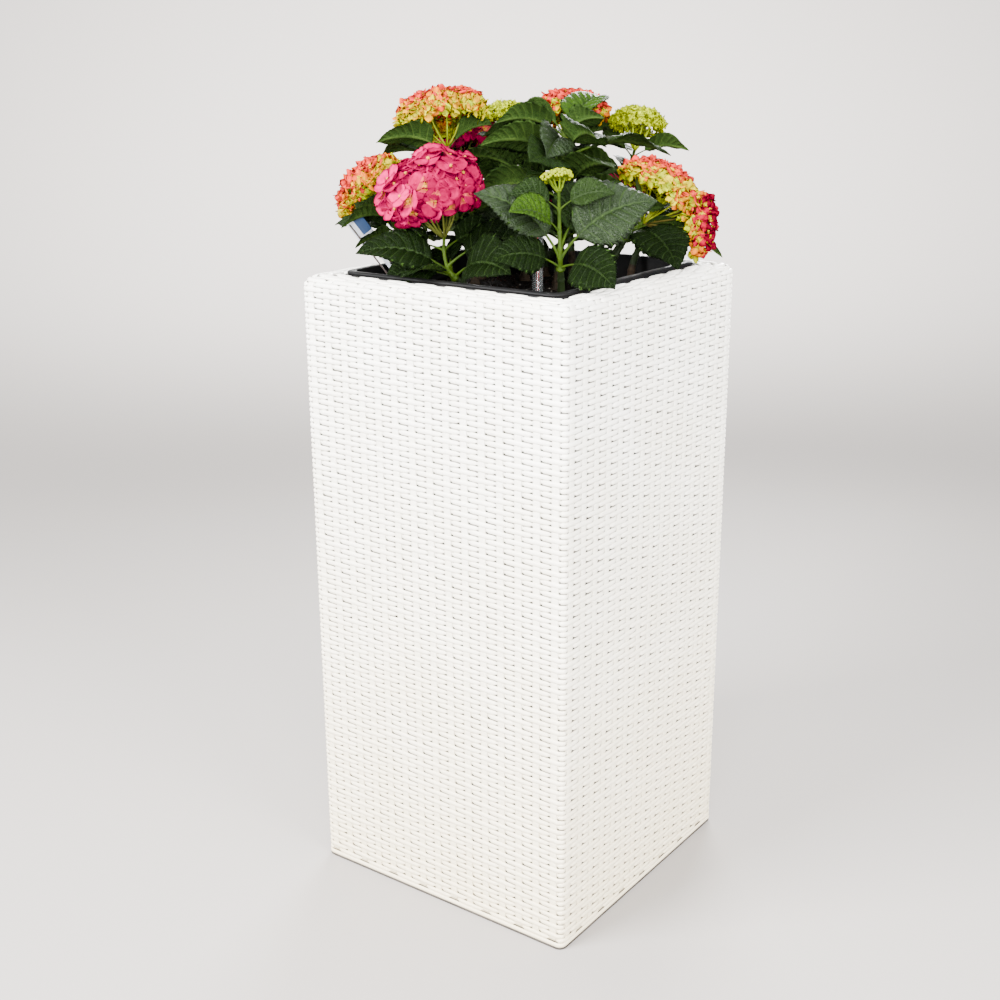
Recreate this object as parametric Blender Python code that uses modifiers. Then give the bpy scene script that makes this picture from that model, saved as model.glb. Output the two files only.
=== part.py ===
"""Hydrangea shrub in a tall square woven planter.

Metres, +Z up, origin at the middle of the planter's flat underside.  The planter, its liner, the
compost, the water gauge and the plant label are made things.  The shrub is a clump of canes that
rise from the compost, some of them forking into boughs, and each cane or bough carries one mass:
a green stem, its leaves in opposite pairs and a flower head, fused into one solid.
"""
from collections import defaultdict, namedtuple
from math import cos, radians, sin

import bmesh
import bpy
import numpy as np
from mathutils import Matrix, Vector
from mathutils.bvhtree import BVHTree

# ---- driving dimensions of the planter -------------------------------------------------------
PLANTER_WIDTH = 0.389
PLANTER_HEIGHT = 0.800
CORNER_RADIUS = 0.010
ROLLED_RIM = 0.014
FOOT_ROUND = 0.003
WALL = 0.007
ROLL_SEGMENTS = 4
CORNER_SEGMENTS = 3
LEDGE_DEPTH = 0.018
SEAT_DEPTH = 0.005

# ---- liner and compost -----------------------------------------------------------------------
FIT = 0.0003
LINER_RIM_WIDTH = 0.318
LINER_RIM_HEIGHT = 0.008
LINER_DEPTH = 0.300
LINER_WALL = 0.003
LINER_CORNER = 0.018
LINER_LIP = 0.007
LINER_RIM_ROUND = 0.002
LINER_PLAY = 0.002
COMPOST_TOP = 0.772

# ---- water gauge and plant label -------------------------------------------------------------
GAUGE_PLACE = (0.066, -0.064)
GAUGE_TUBE_RADIUS = 0.0065
GAUGE_FOOT_RADIUS = 0.013
GAUGE_FOOT_HEIGHT = 0.012
GAUGE_EDGE = 0.002
GAUGE_TOP = 0.866
LABEL_FOOT = (-0.110, -0.088)
LABEL_TOP = (-0.172, -0.124, 0.866)
LABEL_WIDTH = 0.022
LABEL_THICKNESS = 0.0012
LABEL_CORNER = 0.0044
LABEL_CORNER_STEPS = 3
LABEL_SPIKE_WIDTH = 0.005
LABEL_SPIKE_SHARE = 0.50
LABEL_SHOULDER = 0.004
LABEL_TURN = -82.0

# ---- the shrub's own proportions; angles in degrees ------------------------------------------
CANE_FOOT_RADIUS = 0.0050
CANE_TOP_RADIUS = 0.0036
CANE_FLARE = 1.6
CANE_POINTS = 6
FORK_SWELL = 1.95
BELOW_FORK_SWELL = 1.1
FORK_SPREAD = 0.0042
BOUGH_POINTS = 7
BOUGH_TOP_RADIUS = 0.0030
SQUARE_START = 0.003
LEAN_REACH = 0.45
STEM_TOP_RADIUS = 0.0026
STEM_POINTS = 6
STALK_SHARE = 0.24
STALK_RADIUS = 0.0014
BLADE_HALF_WIDTH = 0.295
BLADE_THICKNESS = 0.0022
TEST_THICKNESS = 0.0050
LEAF_DROOP = 60.0
LEAF_FOLD = 0.20
LEAF_OUTWARD_TILT = 38.0
CROWN_REACH = 0.290
CROWN_TOP = 1.020
SEED = 11

# A flower head: how tall it is for its width, how far its florets stand out and in, its colour.
Head = namedtuple("Head", "height relief colour")
HEADS = {
    "ripe": Head(0.80, 0.07, (0.86, 0.07, 0.26)),
    "turning": Head(0.50, 0.08, (0.90, 0.36, 0.26)),
    "young": Head(0.60, 0.06, (0.62, 0.76, 0.05)),
    "bud": Head(0.50, 0.04, (0.66, 0.74, 0.20)),
}
HEAD_UNDERSIDE = 0.62
HEAD_STALKS = 4
HEAD_STALK_SPREAD = 0.5
HEAD_CLEARANCE = 1.05
HEAD_CONE = 0.6

# One leaf of a shoot: how far up the leafy stem (0 to 1), compass bearing from +X, rise, length and
# the roll of its blade, to the right as it points.
Leaf = namedtuple("Leaf", "height bearing rise length roll", defaults=(0,))


# One shoot: the limb that carries it, where its leafy stem starts and ends, its flower heads as
# (kind, centre, radius), and its leaves.
Shoot = namedtuple("Shoot", "carrier base tip heads leaves")
SHOOTS = {
    "centre": Shoot(
        "cane_centre", (0.114, -0.087, 0.818), (0.098, -0.068, 0.904),
        [("bud", (0.094, -0.066, 0.918), 0.020)],
        [Leaf(0.15, -124, 6, 0.092, -20), Leaf(0.15, -17, -6, 0.104, 35),
         Leaf(0.32, -154, 40, 0.128), Leaf(0.32, 40, 30, 0.130, 10),
         Leaf(0.63, -112, 22, 0.078), Leaf(0.44, 97, 29, 0.120),
         Leaf(0.84, -139, 18, 0.062), Leaf(0.84, 58, 16, 0.078),
         Leaf(0.06, 150, 22, 0.105)]),
    "front_left": Shoot(
        "cane_front_left", (-0.018, -0.112, 0.800), (-0.036, -0.111, 0.848),
        [("ripe", (-0.048, -0.116, 0.898), 0.069)],
        [Leaf(0.08, -106, 4, 0.086), Leaf(0.25, -140, 14, 0.124, -14),
         Leaf(0.12, -14, 10, 0.118, 20), Leaf(0.30, 130, 10, 0.110),
         Leaf(0.80, 64, 8, 0.080, 30), Leaf(0.80, -170, 6, 0.100),
         Leaf(0.50, 22, 8, 0.120)]),
    "left": Shoot(
        "cane_left", (-0.128, -0.080, 0.836), (-0.152, -0.070, 0.870),
        [("turning", (-0.175, -0.084, 0.898), 0.051)],
        [Leaf(0.66, -100, 4, 0.090, -20), Leaf(0.90, 70, 10, 0.080),
         Leaf(0.40, 150, 4, 0.090), Leaf(0.40, -10, 12, 0.100),
         Leaf(0.10, 178, -2, 0.105), Leaf(0.05, 50, 10, 0.100)]),
    "upper_left": Shoot(
        "cane_upper_left", (-0.084, -0.010, 0.832), (-0.103, -0.018, 0.946),
        [("turning", (-0.116, -0.012, 0.980), 0.061)],
        [Leaf(0.94, -122, -2, 0.096), Leaf(0.96, 63, 24, 0.070), Leaf(0.84, 18, 0, 0.090),
         Leaf(0.84, -168, 4, 0.100), Leaf(0.56, -84, 14, 0.110), Leaf(0.56, 100, 12, 0.110),
         Leaf(0.34, 10, 8, 0.115), Leaf(0.34, 190, 4, 0.110), Leaf(0.12, -50, 6, 0.125),
         Leaf(0.12, 120, 4, 0.110), Leaf(0.04, -100, 4, 0.110), Leaf(0.04, 60, 4, 0.110)]),
    "crown": Shoot(
        "cane_crown", (0.028, 0.044, 0.826), (0.011, 0.072, 0.962),
        [],
        [Leaf(0.96, -127, 10, 0.100), Leaf(0.97, 176, 26, 0.076), Leaf(0.97, 88, 18, 0.100),
         Leaf(0.96, 0, 21, 0.070), Leaf(0.94, -73, -10, 0.090), Leaf(0.82, 38, 13, 0.148),
         Leaf(0.80, -150, 4, 0.120), Leaf(0.66, -66, 10, 0.125), Leaf(0.66, 118, 10, 0.110),
         Leaf(0.60, -26, 24, 0.110, 20), Leaf(0.50, -160, 6, 0.125), Leaf(0.50, 25, 6, 0.120),
         Leaf(0.34, -95, 4, 0.125),
         Leaf(0.34, 100, 4, 0.115), Leaf(0.18, -170, 4, 0.120), Leaf(0.18, -25, 4, 0.115),
         Leaf(0.05, -55, 6, 0.125), Leaf(0.05, 60, 4, 0.110)]),
    "right_back": Shoot(
        "bough_right_inner", (0.053, 0.152, 0.880), (0.055, 0.172, 0.936),
        [("young", (0.052, 0.182, 0.966), 0.037)],
        [Leaf(0.90, 22, 7, 0.080), Leaf(0.90, 150, 10, 0.086), Leaf(0.50, -60, 4, 0.105),
         Leaf(0.50, 110, 0, 0.110), Leaf(0.12, 178, 4, 0.110), Leaf(0.12, 10, 0, 0.110)]),
    "right": Shoot(
        "bough_right_outer", (0.107, 0.064, 0.834), (0.122, 0.082, 0.856),
        [("turning", (0.132, 0.100, 0.902), 0.050), ("turning", (0.188, 0.104, 0.856), 0.040)],
        [Leaf(0.60, -24, -20, 0.124, 40), Leaf(0.60, 150, 20, 0.110),
         Leaf(0.95, 92, 2, 0.096), Leaf(0.90, -95, 14, 0.095), Leaf(0.15, -70, 4, 0.100),
         Leaf(0.15, 40, -6, 0.110)]),
    "left_back": Shoot(
        "bough_left_inner", (-0.136, 0.058, 0.868), (-0.150, 0.070, 0.916),
        [("ripe", (-0.164, 0.082, 0.949), 0.052)],
        [Leaf(0.10, 90, 28, 0.110), Leaf(0.10, 272, 30, 0.110), Leaf(0.50, 330, 24, 0.105),
         Leaf(0.50, 150, 2, 0.100), Leaf(0.94, 240, -4, 0.095), Leaf(0.94, 60, -4, 0.095)]),
    "centre_back": Shoot(
        "cane_centre_back", (-0.072, 0.084, 0.846), (-0.090, 0.094, 0.944),
        [("young", (-0.093, 0.098, 0.977), 0.031)],
        [Leaf(0.10, 150, 14, 0.115), Leaf(0.10, 60, 36, 0.105), Leaf(0.50, 0, 12, 0.110),
         Leaf(0.50, 90, 14, 0.105), Leaf(0.60, 272, 14, 0.110), Leaf(0.70, 330, 24, 0.100),
         Leaf(0.94, 14, 8, 0.080), Leaf(0.94, 285, 6, 0.085)]),
    "top": Shoot(
        "cane_top", (-0.026, 0.140, 0.846), (-0.036, 0.158, 0.945),
        [("turning", (-0.040, 0.167, 0.981), 0.052)],
        [Leaf(0.10, 176, 10, 0.115), Leaf(0.10, 105, 36, 0.110), Leaf(0.50, 5, 30, 0.110),
         Leaf(0.50, 88, 24, 0.115), Leaf(0.60, 272, 14, 0.110), Leaf(0.60, 176, 30, 0.105),
         Leaf(0.94, 322, 6, 0.095), Leaf(0.94, 122, -4, 0.095), Leaf(0.94, 62, -4, 0.090)]),
    "far_back": Shoot(
        "bough_back_right", (-0.006, 0.186, 0.818), (-0.012, 0.210, 0.838),
        [("ripe", (-0.016, 0.236, 0.858), 0.046)],
        [Leaf(0.10, 310, 16, 0.115), Leaf(0.10, 60, -10, 0.110), Leaf(0.50, 190, 8, 0.110),
         Leaf(0.50, 28, -8, 0.110), Leaf(0.94, 296, 14, 0.095), Leaf(0.94, 210, 12, 0.095)]),
    "back_left": Shoot(
        "bough_back_left", (-0.098, 0.160, 0.818), (-0.122, 0.176, 0.838),
        [("ripe", (-0.146, 0.196, 0.860), 0.050)],
        [Leaf(0.10, 212, 12, 0.115), Leaf(0.10, 62, -10, 0.110), Leaf(0.50, 272, 10, 0.110),
         Leaf(0.50, 60, 26, 0.105), Leaf(0.94, 242, 8, 0.095), Leaf(0.94, 340, 18, 0.095)]),
    "far_left": Shoot(
        "bough_left_outer", (-0.172, 0.040, 0.820), (-0.192, 0.046, 0.838),
        [("turning", (-0.216, 0.044, 0.868), 0.044)],
        [Leaf(0.10, 120, 12, 0.105), Leaf(0.10, 242, 12, 0.105), Leaf(0.50, 90, 14, 0.100),
         Leaf(0.50, 272, 14, 0.100), Leaf(0.94, 60, 22, 0.090), Leaf(0.94, 310, 20, 0.090)]),
    "back_right": Shoot(
        "cane_back_right", (0.082, 0.150, 0.824), (0.094, 0.186, 0.834),
        [("turning", (0.102, 0.210, 0.856), 0.042)],
        [Leaf(0.10, 152, 18, 0.110), Leaf(0.10, 32, -10, 0.110), Leaf(0.50, 190, 10, 0.105),
         Leaf(0.50, 2, -4, 0.110), Leaf(0.94, 272, 2, 0.095), Leaf(0.94, 150, -8, 0.090)]),
}

# One cane: its foot on the compost and the shoots it carries, one, or two where it forks.
CANES = {
    "cane_centre": ((0.104, -0.070), ["centre"]),
    "cane_front_left": ((-0.010, -0.094), ["front_left"]),
    "cane_left": ((-0.100, -0.068), ["left"]),
    "cane_upper_left": ((-0.066, -0.012), ["upper_left"]),
    "cane_crown": ((0.030, 0.030), ["crown"]),
    "cane_right": ((0.088, 0.040), ["right_back", "right"]),
    "cane_left_fork": ((-0.100, 0.046), ["left_back", "far_left"]),
    "cane_centre_back": ((-0.044, 0.066), ["centre_back"]),
    "cane_top": ((0.004, 0.106), ["top"]),
    "cane_back_fork": ((-0.044, 0.114), ["far_back", "back_left"]),
    "cane_back_right": ((0.082, 0.122), ["back_right"]),
}
FORKS = {
    "cane_right": (0.099, 0.054, 0.817),
    "cane_left_fork": (-0.116, 0.046, 0.812),
    "cane_back_fork": (-0.050, 0.130, 0.798),
}


# ---- scene, collections and materials --------------------------------------------------------
for old in list(bpy.data.objects):
    bpy.data.objects.remove(old, do_unlink=True)

parts = bpy.data.collections.new("hydrangea_in_planter")
bpy.context.scene.collection.children.link(parts)
cutters = bpy.data.collections.new("cutters")
bpy.context.scene.collection.children.link(cutters)


def material(name, colour, roughness):
    """A plain Principled material in the part's own colour."""
    made = bpy.data.materials.new(name)
    made.use_nodes = True
    shader = made.node_tree.nodes["Principled BSDF"]
    shader.inputs["Base Color"].default_value = (*colour, 1.0)
    shader.inputs["Roughness"].default_value = roughness
    return made


def add_object(name, mesh, collection, colour=(0.5, 0.5, 0.5), roughness=0.6):
    """Link a mesh as an object with its own material."""
    piece = bpy.data.objects.new(name, mesh)
    collection.objects.link(piece)
    if collection is parts:
        piece.data.materials.append(material(name, colour, roughness))
    return piece


def mesh_from_bmesh(name, shape):
    mesh = bpy.data.meshes.new(name)
    shape.to_mesh(mesh)
    shape.free()
    return mesh


def evaluated_mesh(piece):
    """The mesh of an object with its modifiers or bevel worked out."""
    bpy.context.view_layer.update()
    graph = bpy.context.evaluated_depsgraph_get()
    return bpy.data.meshes.new_from_object(piece.evaluated_get(graph), depsgraph=graph)


# ---- planter, liner and compost --------------------------------------------------------------
def rounded_square(width, height, corner):
    """One ring of a square section with round corners, anticlockwise from above."""
    middle = width / 2 - corner
    ring = []
    for quarter in range(4):
        towards = radians(45 + 90 * quarter)
        centre = (middle * np.sign(cos(towards)), middle * np.sign(sin(towards)))
        for k in range(CORNER_SEGMENTS + 1):
            angle = radians(90 * quarter + 90 * k / CORNER_SEGMENTS)
            ring.append((centre[0] + corner * cos(angle), centre[1] + corner * sin(angle), height))
    return ring


def square_turning(name, profile):
    """A closed shell of square section: each step of the profile is (width, height, corner)."""
    shape = bmesh.new()
    rings = [[shape.verts.new(place) for place in rounded_square(*step)] for step in profile]
    for low, high in zip(rings, rings[1:]):
        for k in range(len(low)):
            there = (k + 1) % len(low)
            shape.faces.new((low[k], low[there], high[there], high[k]))
    shape.faces.new(rings[0][::-1])
    shape.faces.new(rings[-1])
    return mesh_from_bmesh(name, shape)


liner_width = LINER_RIM_WIDTH - 2 * LINER_LIP
seat_width = LINER_RIM_WIDTH + 2 * FIT
seat_level = PLANTER_HEIGHT - SEAT_DEPTH
opening_width = liner_width + 2 * LINER_PLAY
cavity_width = PLANTER_WIDTH - 2 * WALL
liner_top = seat_level + FIT + LINER_RIM_HEIGHT
liner_bottom = liner_top - LINER_DEPTH

planter_profile = [
    (PLANTER_WIDTH - 2 * FOOT_ROUND, 0.0, CORNER_RADIUS),
    (PLANTER_WIDTH, FOOT_ROUND, CORNER_RADIUS),
]
for k in range(ROLL_SEGMENTS + 1):
    angle = radians(90 * k / ROLL_SEGMENTS)
    planter_profile.append((PLANTER_WIDTH - 2 * ROLLED_RIM * (1 - cos(angle)),
                            PLANTER_HEIGHT - ROLLED_RIM * (1 - sin(angle)),
                            CORNER_RADIUS))
planter_profile += [
    (seat_width + 2 * SEAT_DEPTH, PLANTER_HEIGHT, LINER_CORNER),
    (seat_width, seat_level, LINER_CORNER),
    (opening_width, seat_level, LINER_CORNER - LINER_LIP),
    (opening_width, PLANTER_HEIGHT - LEDGE_DEPTH, LINER_CORNER - LINER_LIP),
    (cavity_width, PLANTER_HEIGHT - LEDGE_DEPTH, CORNER_RADIUS),
    (cavity_width, WALL, CORNER_RADIUS),
]
add_object("woven_planter", square_turning("woven_planter", planter_profile), parts,
           (0.90, 0.88, 0.83), 0.45)

liner_profile = [
    (liner_width, liner_bottom, LINER_CORNER - LINER_LIP),
    (liner_width, seat_level + FIT, LINER_CORNER - LINER_LIP),
    (LINER_RIM_WIDTH, seat_level + FIT, LINER_CORNER),
    (LINER_RIM_WIDTH, liner_top - LINER_RIM_ROUND, LINER_CORNER),
    (LINER_RIM_WIDTH - 2 * LINER_RIM_ROUND, liner_top, LINER_CORNER),
    (liner_width - 2 * LINER_WALL, liner_top, LINER_CORNER - LINER_LIP),
    (liner_width - 2 * LINER_WALL, liner_bottom + LINER_WALL, LINER_CORNER - LINER_LIP),
]
add_object("liner", square_turning("liner", liner_profile), parts, (0.03, 0.03, 0.035), 0.5)

compost_width = liner_width - 2 * LINER_WALL - 2 * FIT
compost_profile = [
    (compost_width, liner_bottom + LINER_WALL + FIT, LINER_CORNER - LINER_LIP),
    (compost_width, COMPOST_TOP, LINER_CORNER - LINER_LIP),
]
add_object("compost", square_turning("compost", compost_profile), parts, (0.07, 0.045, 0.03), 0.95)


# ---- water gauge and plant label -------------------------------------------------------------
def turned(name, profile, segments=16):
    """A round piece: its profile, from the top of the axis down the outside, on a Screw modifier."""
    mesh = bpy.data.meshes.new(name)
    edges = [(k, k + 1) for k in range(len(profile) - 1)]
    mesh.from_pydata([(radius, 0.0, height) for radius, height in profile], edges, [])
    piece = add_object(name, mesh, parts, (0.75, 0.80, 0.80), 0.15)
    screw = piece.modifiers.new("turn", "SCREW")
    screw.steps = segments
    screw.render_steps = segments
    screw.use_merge_vertices = True
    screw.merge_threshold = 0.0001
    return piece


gauge_foot = COMPOST_TOP + FIT
gauge = turned("water_gauge", [
    (0.0, GAUGE_TOP),
    (GAUGE_TUBE_RADIUS - GAUGE_EDGE, GAUGE_TOP),
    (GAUGE_TUBE_RADIUS, GAUGE_TOP - GAUGE_EDGE),
    (GAUGE_TUBE_RADIUS, gauge_foot + GAUGE_FOOT_HEIGHT),
    (GAUGE_FOOT_RADIUS, gauge_foot + GAUGE_FOOT_HEIGHT - GAUGE_EDGE),
    (GAUGE_FOOT_RADIUS, gauge_foot),
    (0.0, gauge_foot),
])
gauge.location = (*GAUGE_PLACE, 0.0)

label_run = Vector(LABEL_TOP) - Vector((*LABEL_FOOT, COMPOST_TOP))
up_label = label_run.normalized()
level_side = Vector((label_run.x, label_run.y, 0)).normalized().cross(Vector((0, 0, 1)))
label_side = Matrix.Rotation(radians(LABEL_TURN), 3, up_label) @ level_side
foot_drop = abs(label_side.z) * LABEL_SPIKE_WIDTH / 2 + LABEL_THICKNESS / 2 + FIT
label_length = label_run.length - foot_drop
outline = [(LABEL_SPIKE_WIDTH / 2, 0.0), (LABEL_SPIKE_WIDTH / 2, label_length * LABEL_SPIKE_SHARE)]
for corner_level in (label_length * LABEL_SPIKE_SHARE + LABEL_SHOULDER, label_length):
    top_corner = corner_level == label_length
    for k in range(LABEL_CORNER_STEPS + 1):
        turned_by = radians(90 * (k / LABEL_CORNER_STEPS + (0 if top_corner else -1)))
        drop = LABEL_CORNER if top_corner else -LABEL_CORNER
        outline.append((LABEL_WIDTH / 2 - LABEL_CORNER * (1 - cos(turned_by)),
                        corner_level - drop + LABEL_CORNER * sin(turned_by)))
outline += [(-x, y) for x, y in outline[::-1]]
card = bpy.data.curves.new("plant_label", "CURVE")
card.dimensions = "2D"
card.fill_mode = "BOTH"
card.extrude = LABEL_THICKNESS / 2
edge = card.splines.new("POLY")
edge.points.add(len(outline) - 1)
edge.use_cyclic_u = True
for point, (x, y) in zip(edge.points, outline):
    point.co = (x, y, 0.0, 1.0)
holder = bpy.data.objects.new("plant_label", card)
cutters.objects.link(holder)
plate = bmesh.new()
plate.from_mesh(evaluated_mesh(holder))
bmesh.ops.remove_doubles(plate, verts=plate.verts, dist=1e-6)
bpy.data.objects.remove(holder)
label = add_object("plant_label", mesh_from_bmesh("plant_label", plate), parts,
                   (0.92, 0.92, 0.90), 0.35)
label_basis = Matrix((label_side, up_label, label_side.cross(up_label))).transposed()
label.matrix_world = (Matrix.Translation(Vector(LABEL_TOP) - up_label * label_length)
                      @ label_basis.to_4x4())


# ---- limbs -----------------------------------------------------------------------------------
def bend(start, end, lean_in, count):
    """Points of a limb from start to end that sets off along lean_in and turns to its end."""
    start, end, lean_in = (np.array(v, dtype=float) for v in (start, end, lean_in))
    reach = np.linalg.norm(end - start)
    lean_in /= np.linalg.norm(lean_in)
    middle = start + lean_in * reach * LEAN_REACH
    t = np.linspace(0.0, 1.0, count)[:, None]
    curve = (1 - t) ** 2 * start + 2 * t * (1 - t) * middle + t ** 2 * end
    return np.insert(curve, 1, start + lean_in * SQUARE_START, axis=0)


def end_direction(points):
    run = points[-1] - points[-2]
    return run / np.linalg.norm(run)


def limb(name, points, radii, sides=1):
    """A tapering limb: a curve with a bevel and filled caps, made a mesh with its caps welded."""
    curve = bpy.data.curves.new(name, "CURVE")
    curve.dimensions = "3D"
    curve.bevel_depth = 1.0
    curve.bevel_resolution = sides
    curve.use_fill_caps = True
    spline = curve.splines.new("POLY")
    spline.points.add(len(points) - 1)
    for point, place, radius in zip(spline.points, points, radii):
        point.co = (*place, 1.0)
        point.radius = radius
    holder = bpy.data.objects.new(name, curve)
    cutters.objects.link(holder)
    mesh = evaluated_mesh(holder)
    bpy.data.objects.remove(holder)
    shape = bmesh.new()
    shape.from_mesh(mesh)
    bmesh.ops.remove_doubles(shape, verts=shape.verts, dist=1e-6)
    shape.to_mesh(mesh)
    shape.free()
    return mesh


UP = np.array((0.0, 0.0, 1.0))
CANE_COLOUR = (0.22, 0.30, 0.08)
stem_paths = {}
limb_meshes = {}

for cane, (foot, carried) in CANES.items():
    ground = np.array((*foot, COMPOST_TOP + FIT))
    top = FORKS.get(cane, SHOOTS[carried[0]].base)
    path = bend(ground, top, UP, CANE_POINTS)
    radii = np.linspace(CANE_FOOT_RADIUS, CANE_TOP_RADIUS, len(path))
    radii[0] *= CANE_FLARE
    if len(carried) == 2:
        radii[-1] *= FORK_SWELL
        radii[-2] *= BELOW_FORK_SWELL
    limb_meshes[cane] = limb(cane, path, radii)
    add_object(cane, limb_meshes[cane], parts, CANE_COLOUR, 0.6)
    heading = end_direction(path)
    if len(carried) == 1:
        stem_paths[carried[0]] = (path[-1] + heading * FIT, heading)
        continue
    sideways = np.array(SHOOTS[carried[0]].base) - np.array(SHOOTS[carried[1]].base)
    sideways -= heading * (sideways @ heading)
    sideways /= np.linalg.norm(sideways)
    for shoot, side in zip(carried, (1, -1)):
        start = path[-1] + heading * FIT + sideways * side * FORK_SPREAD
        bough = SHOOTS[shoot].carrier
        bough_path = bend(start, SHOOTS[shoot].base, heading, BOUGH_POINTS)
        bough_radii = np.linspace(CANE_TOP_RADIUS, BOUGH_TOP_RADIUS, len(bough_path))
        limb_meshes[bough] = limb(bough, bough_path, bough_radii)
        add_object(bough, limb_meshes[bough], parts, CANE_COLOUR, 0.6)
        bough_heading = end_direction(bough_path)
        stem_paths[shoot] = (bough_path[-1] + bough_heading * FIT, bough_heading)


# ---- leaves ----------------------------------------------------------------------------------
def leaf_line(root, leaf, stations):
    """A leaf's stalk and midrib: mean slope is the leaf's rise, and it bends down as it runs."""
    run = np.array(stations)
    middle = (run[1:] + run[:-1]) / 2
    pitch = np.radians(leaf.rise + LEAF_DROOP * (0.5 - middle))
    steps = np.diff(run) * leaf.length
    bearing = radians(leaf.bearing)
    flat = np.cos(pitch) * steps
    rise = np.sin(pitch) * steps
    ahead = np.stack([flat * cos(bearing), flat * sin(bearing), rise], axis=1)
    return np.vstack([root, root + np.cumsum(ahead, axis=0)])


def blade_half_width(share):
    """Half width of an ovate blade, 0 to 1, along its length: sin(pi u^0.78)^0.85."""
    return np.sin(np.pi * share ** 0.78) ** 0.85


LEAF_STATIONS = (0.0, STALK_SHARE, 0.42, 0.62, 0.82, 1.0)


def leaf_solid(root, leaf, thickness):
    """A closed leaf: a thin stalk that widens into a folded blade, lens shaped across."""
    line = leaf_line(root, leaf, LEAF_STATIONS)
    ahead = np.gradient(line, axis=0)
    ahead /= np.linalg.norm(ahead, axis=1)[:, None]
    outward = line[2] * (1, 1, 0)
    outward /= np.linalg.norm(outward)
    tilt = radians(LEAF_OUTWARD_TILT)
    face = UP * cos(tilt) + outward * sin(tilt)
    face = face - ahead * (ahead @ face)[:, None]
    face /= np.linalg.norm(face, axis=1)[:, None]
    side = np.cross(ahead, face)
    roll = radians(leaf.roll)
    face, side = face * cos(roll) + side * sin(roll), side * cos(roll) - face * sin(roll)
    blade = (np.array(LEAF_STATIONS) - STALK_SHARE) / (1 - STALK_SHARE)
    half = blade_half_width(np.clip(blade, 0, 1)) * BLADE_HALF_WIDTH * leaf.length
    half = np.maximum(half, STALK_RADIUS)[:, None]
    deep = np.full_like(half, thickness / 2)
    lift = face * half * LEAF_FOLD
    lift[:2] = 0
    rings = [line - side * half + lift, line + face * deep, line + side * half + lift,
             line - face * deep]
    verts = np.stack(rings, axis=1)[:-1].reshape(-1, 3)
    verts = np.vstack([verts, line[-1]])
    faces = [(3, 2, 1, 0)]
    rows = len(LEAF_STATIONS) - 1
    for row in range(rows - 1):
        for k in range(4):
            here, there = 4 * row + k, 4 * row + (k + 1) % 4
            faces.append((here, there, there + 4, here + 4))
    last = 4 * (rows - 1)
    faces += [(last + k, last + (k + 1) % 4, len(verts) - 1) for k in range(4)]
    return verts, faces


def tree_of(verts, faces):
    return BVHTree.FromPolygons([tuple(v) for v in verts], faces, all_triangles=False)


def tree_of_mesh(mesh, place=Matrix.Identity(4)):
    return BVHTree.FromPolygons([place @ v.co for v in mesh.vertices],
                                [tuple(p.vertices) for p in mesh.polygons])


def mesh_of(name, verts, faces):
    mesh = bpy.data.meshes.new(name)
    mesh.from_pydata([tuple(v) for v in verts], [], faces)
    return mesh


# ---- flower heads ----------------------------------------------------------------------------
def head_turn(tip, centre):
    """The turn that stands a flower head on the line from its stem's tip to its middle."""
    axis = Vector(np.array(centre) - np.array(tip))
    return Vector((0, 0, 1)).rotation_difference(axis).to_matrix().to_4x4()


def dome(kind, radius, turn, centre, relief=0.0):
    """A ball squashed to a flower head's height, flatter below, its florets standing in and out."""
    shape = bmesh.new()
    bmesh.ops.create_icosphere(shape, subdivisions=2, radius=radius)
    lumps = np.random.default_rng(SEED).uniform(-relief, relief, len(shape.verts))
    for vert, lump in zip(shape.verts, lumps):
        vert.co *= 1 + lump
        vert.co.z *= HEADS[kind].height * (1.0 if vert.co.z > 0 else HEAD_UNDERSIDE)
    bmesh.ops.transform(shape, matrix=Matrix.Translation(centre) @ turn, verts=shape.verts)
    return shape


def head_pieces(kind, tip, centre, radius):
    """The head itself and the spreading stalks that hold it on its stem."""
    turn = head_turn(tip, centre)
    relief = HEADS[kind].relief
    pieces = [mesh_from_bmesh("head", dome(kind, radius * (1 - relief), turn, centre, relief))]
    spread = radius * HEAD_STALK_SPREAD
    root = np.array(tip) - UP * 2 * STALK_RADIUS
    for k in range(HEAD_STALKS):
        around = 2 * np.pi * (k + 0.25) / HEAD_STALKS
        end = turn @ Vector((spread * cos(around), spread * sin(around), 0.0))
        pieces.append(limb("stalk", [root, np.array(centre) + np.array(end)],
                           [STALK_RADIUS, STALK_RADIUS], sides=0))
    return pieces


# ---- the masses: stems, leaves and flower heads kept clear of each other -----------------------
obstacles = {}
for name in ("woven_planter", "liner", "compost", "water_gauge", "plant_label"):
    fixed = bpy.data.objects[name]
    obstacles[name] = [tree_of_mesh(evaluated_mesh(fixed), fixed.matrix_world)]
for name, mesh in limb_meshes.items():
    obstacles[name] = [tree_of_mesh(mesh)]

stems = {}
for name, shoot in SHOOTS.items():
    start, heading = stem_paths[name]
    path = bend(start, shoot.tip, heading, STEM_POINTS)
    foot_radius = BOUGH_TOP_RADIUS if shoot.carrier.startswith("bough") else CANE_TOP_RADIUS
    radii = np.linspace(foot_radius, STEM_TOP_RADIUS, len(path))
    stems[name] = (path, limb(name, path, radii))
    obstacles[name] = [tree_of_mesh(stems[name][1])]

head_space = {}
for name, shoot in SHOOTS.items():
    spaces = []
    for kind, centre, radius in shoot.heads:
        space = dome(kind, radius * HEAD_CLEARANCE, head_turn(shoot.tip, centre), centre)
        spaces.append(BVHTree.FromBMesh(space))
        space.free()
        cone = limb("cone", [shoot.tip, centre], [STEM_TOP_RADIUS, radius * HEAD_CONE])
        spaces.append(tree_of_mesh(cone))
    head_space[name] = spaces

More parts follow.
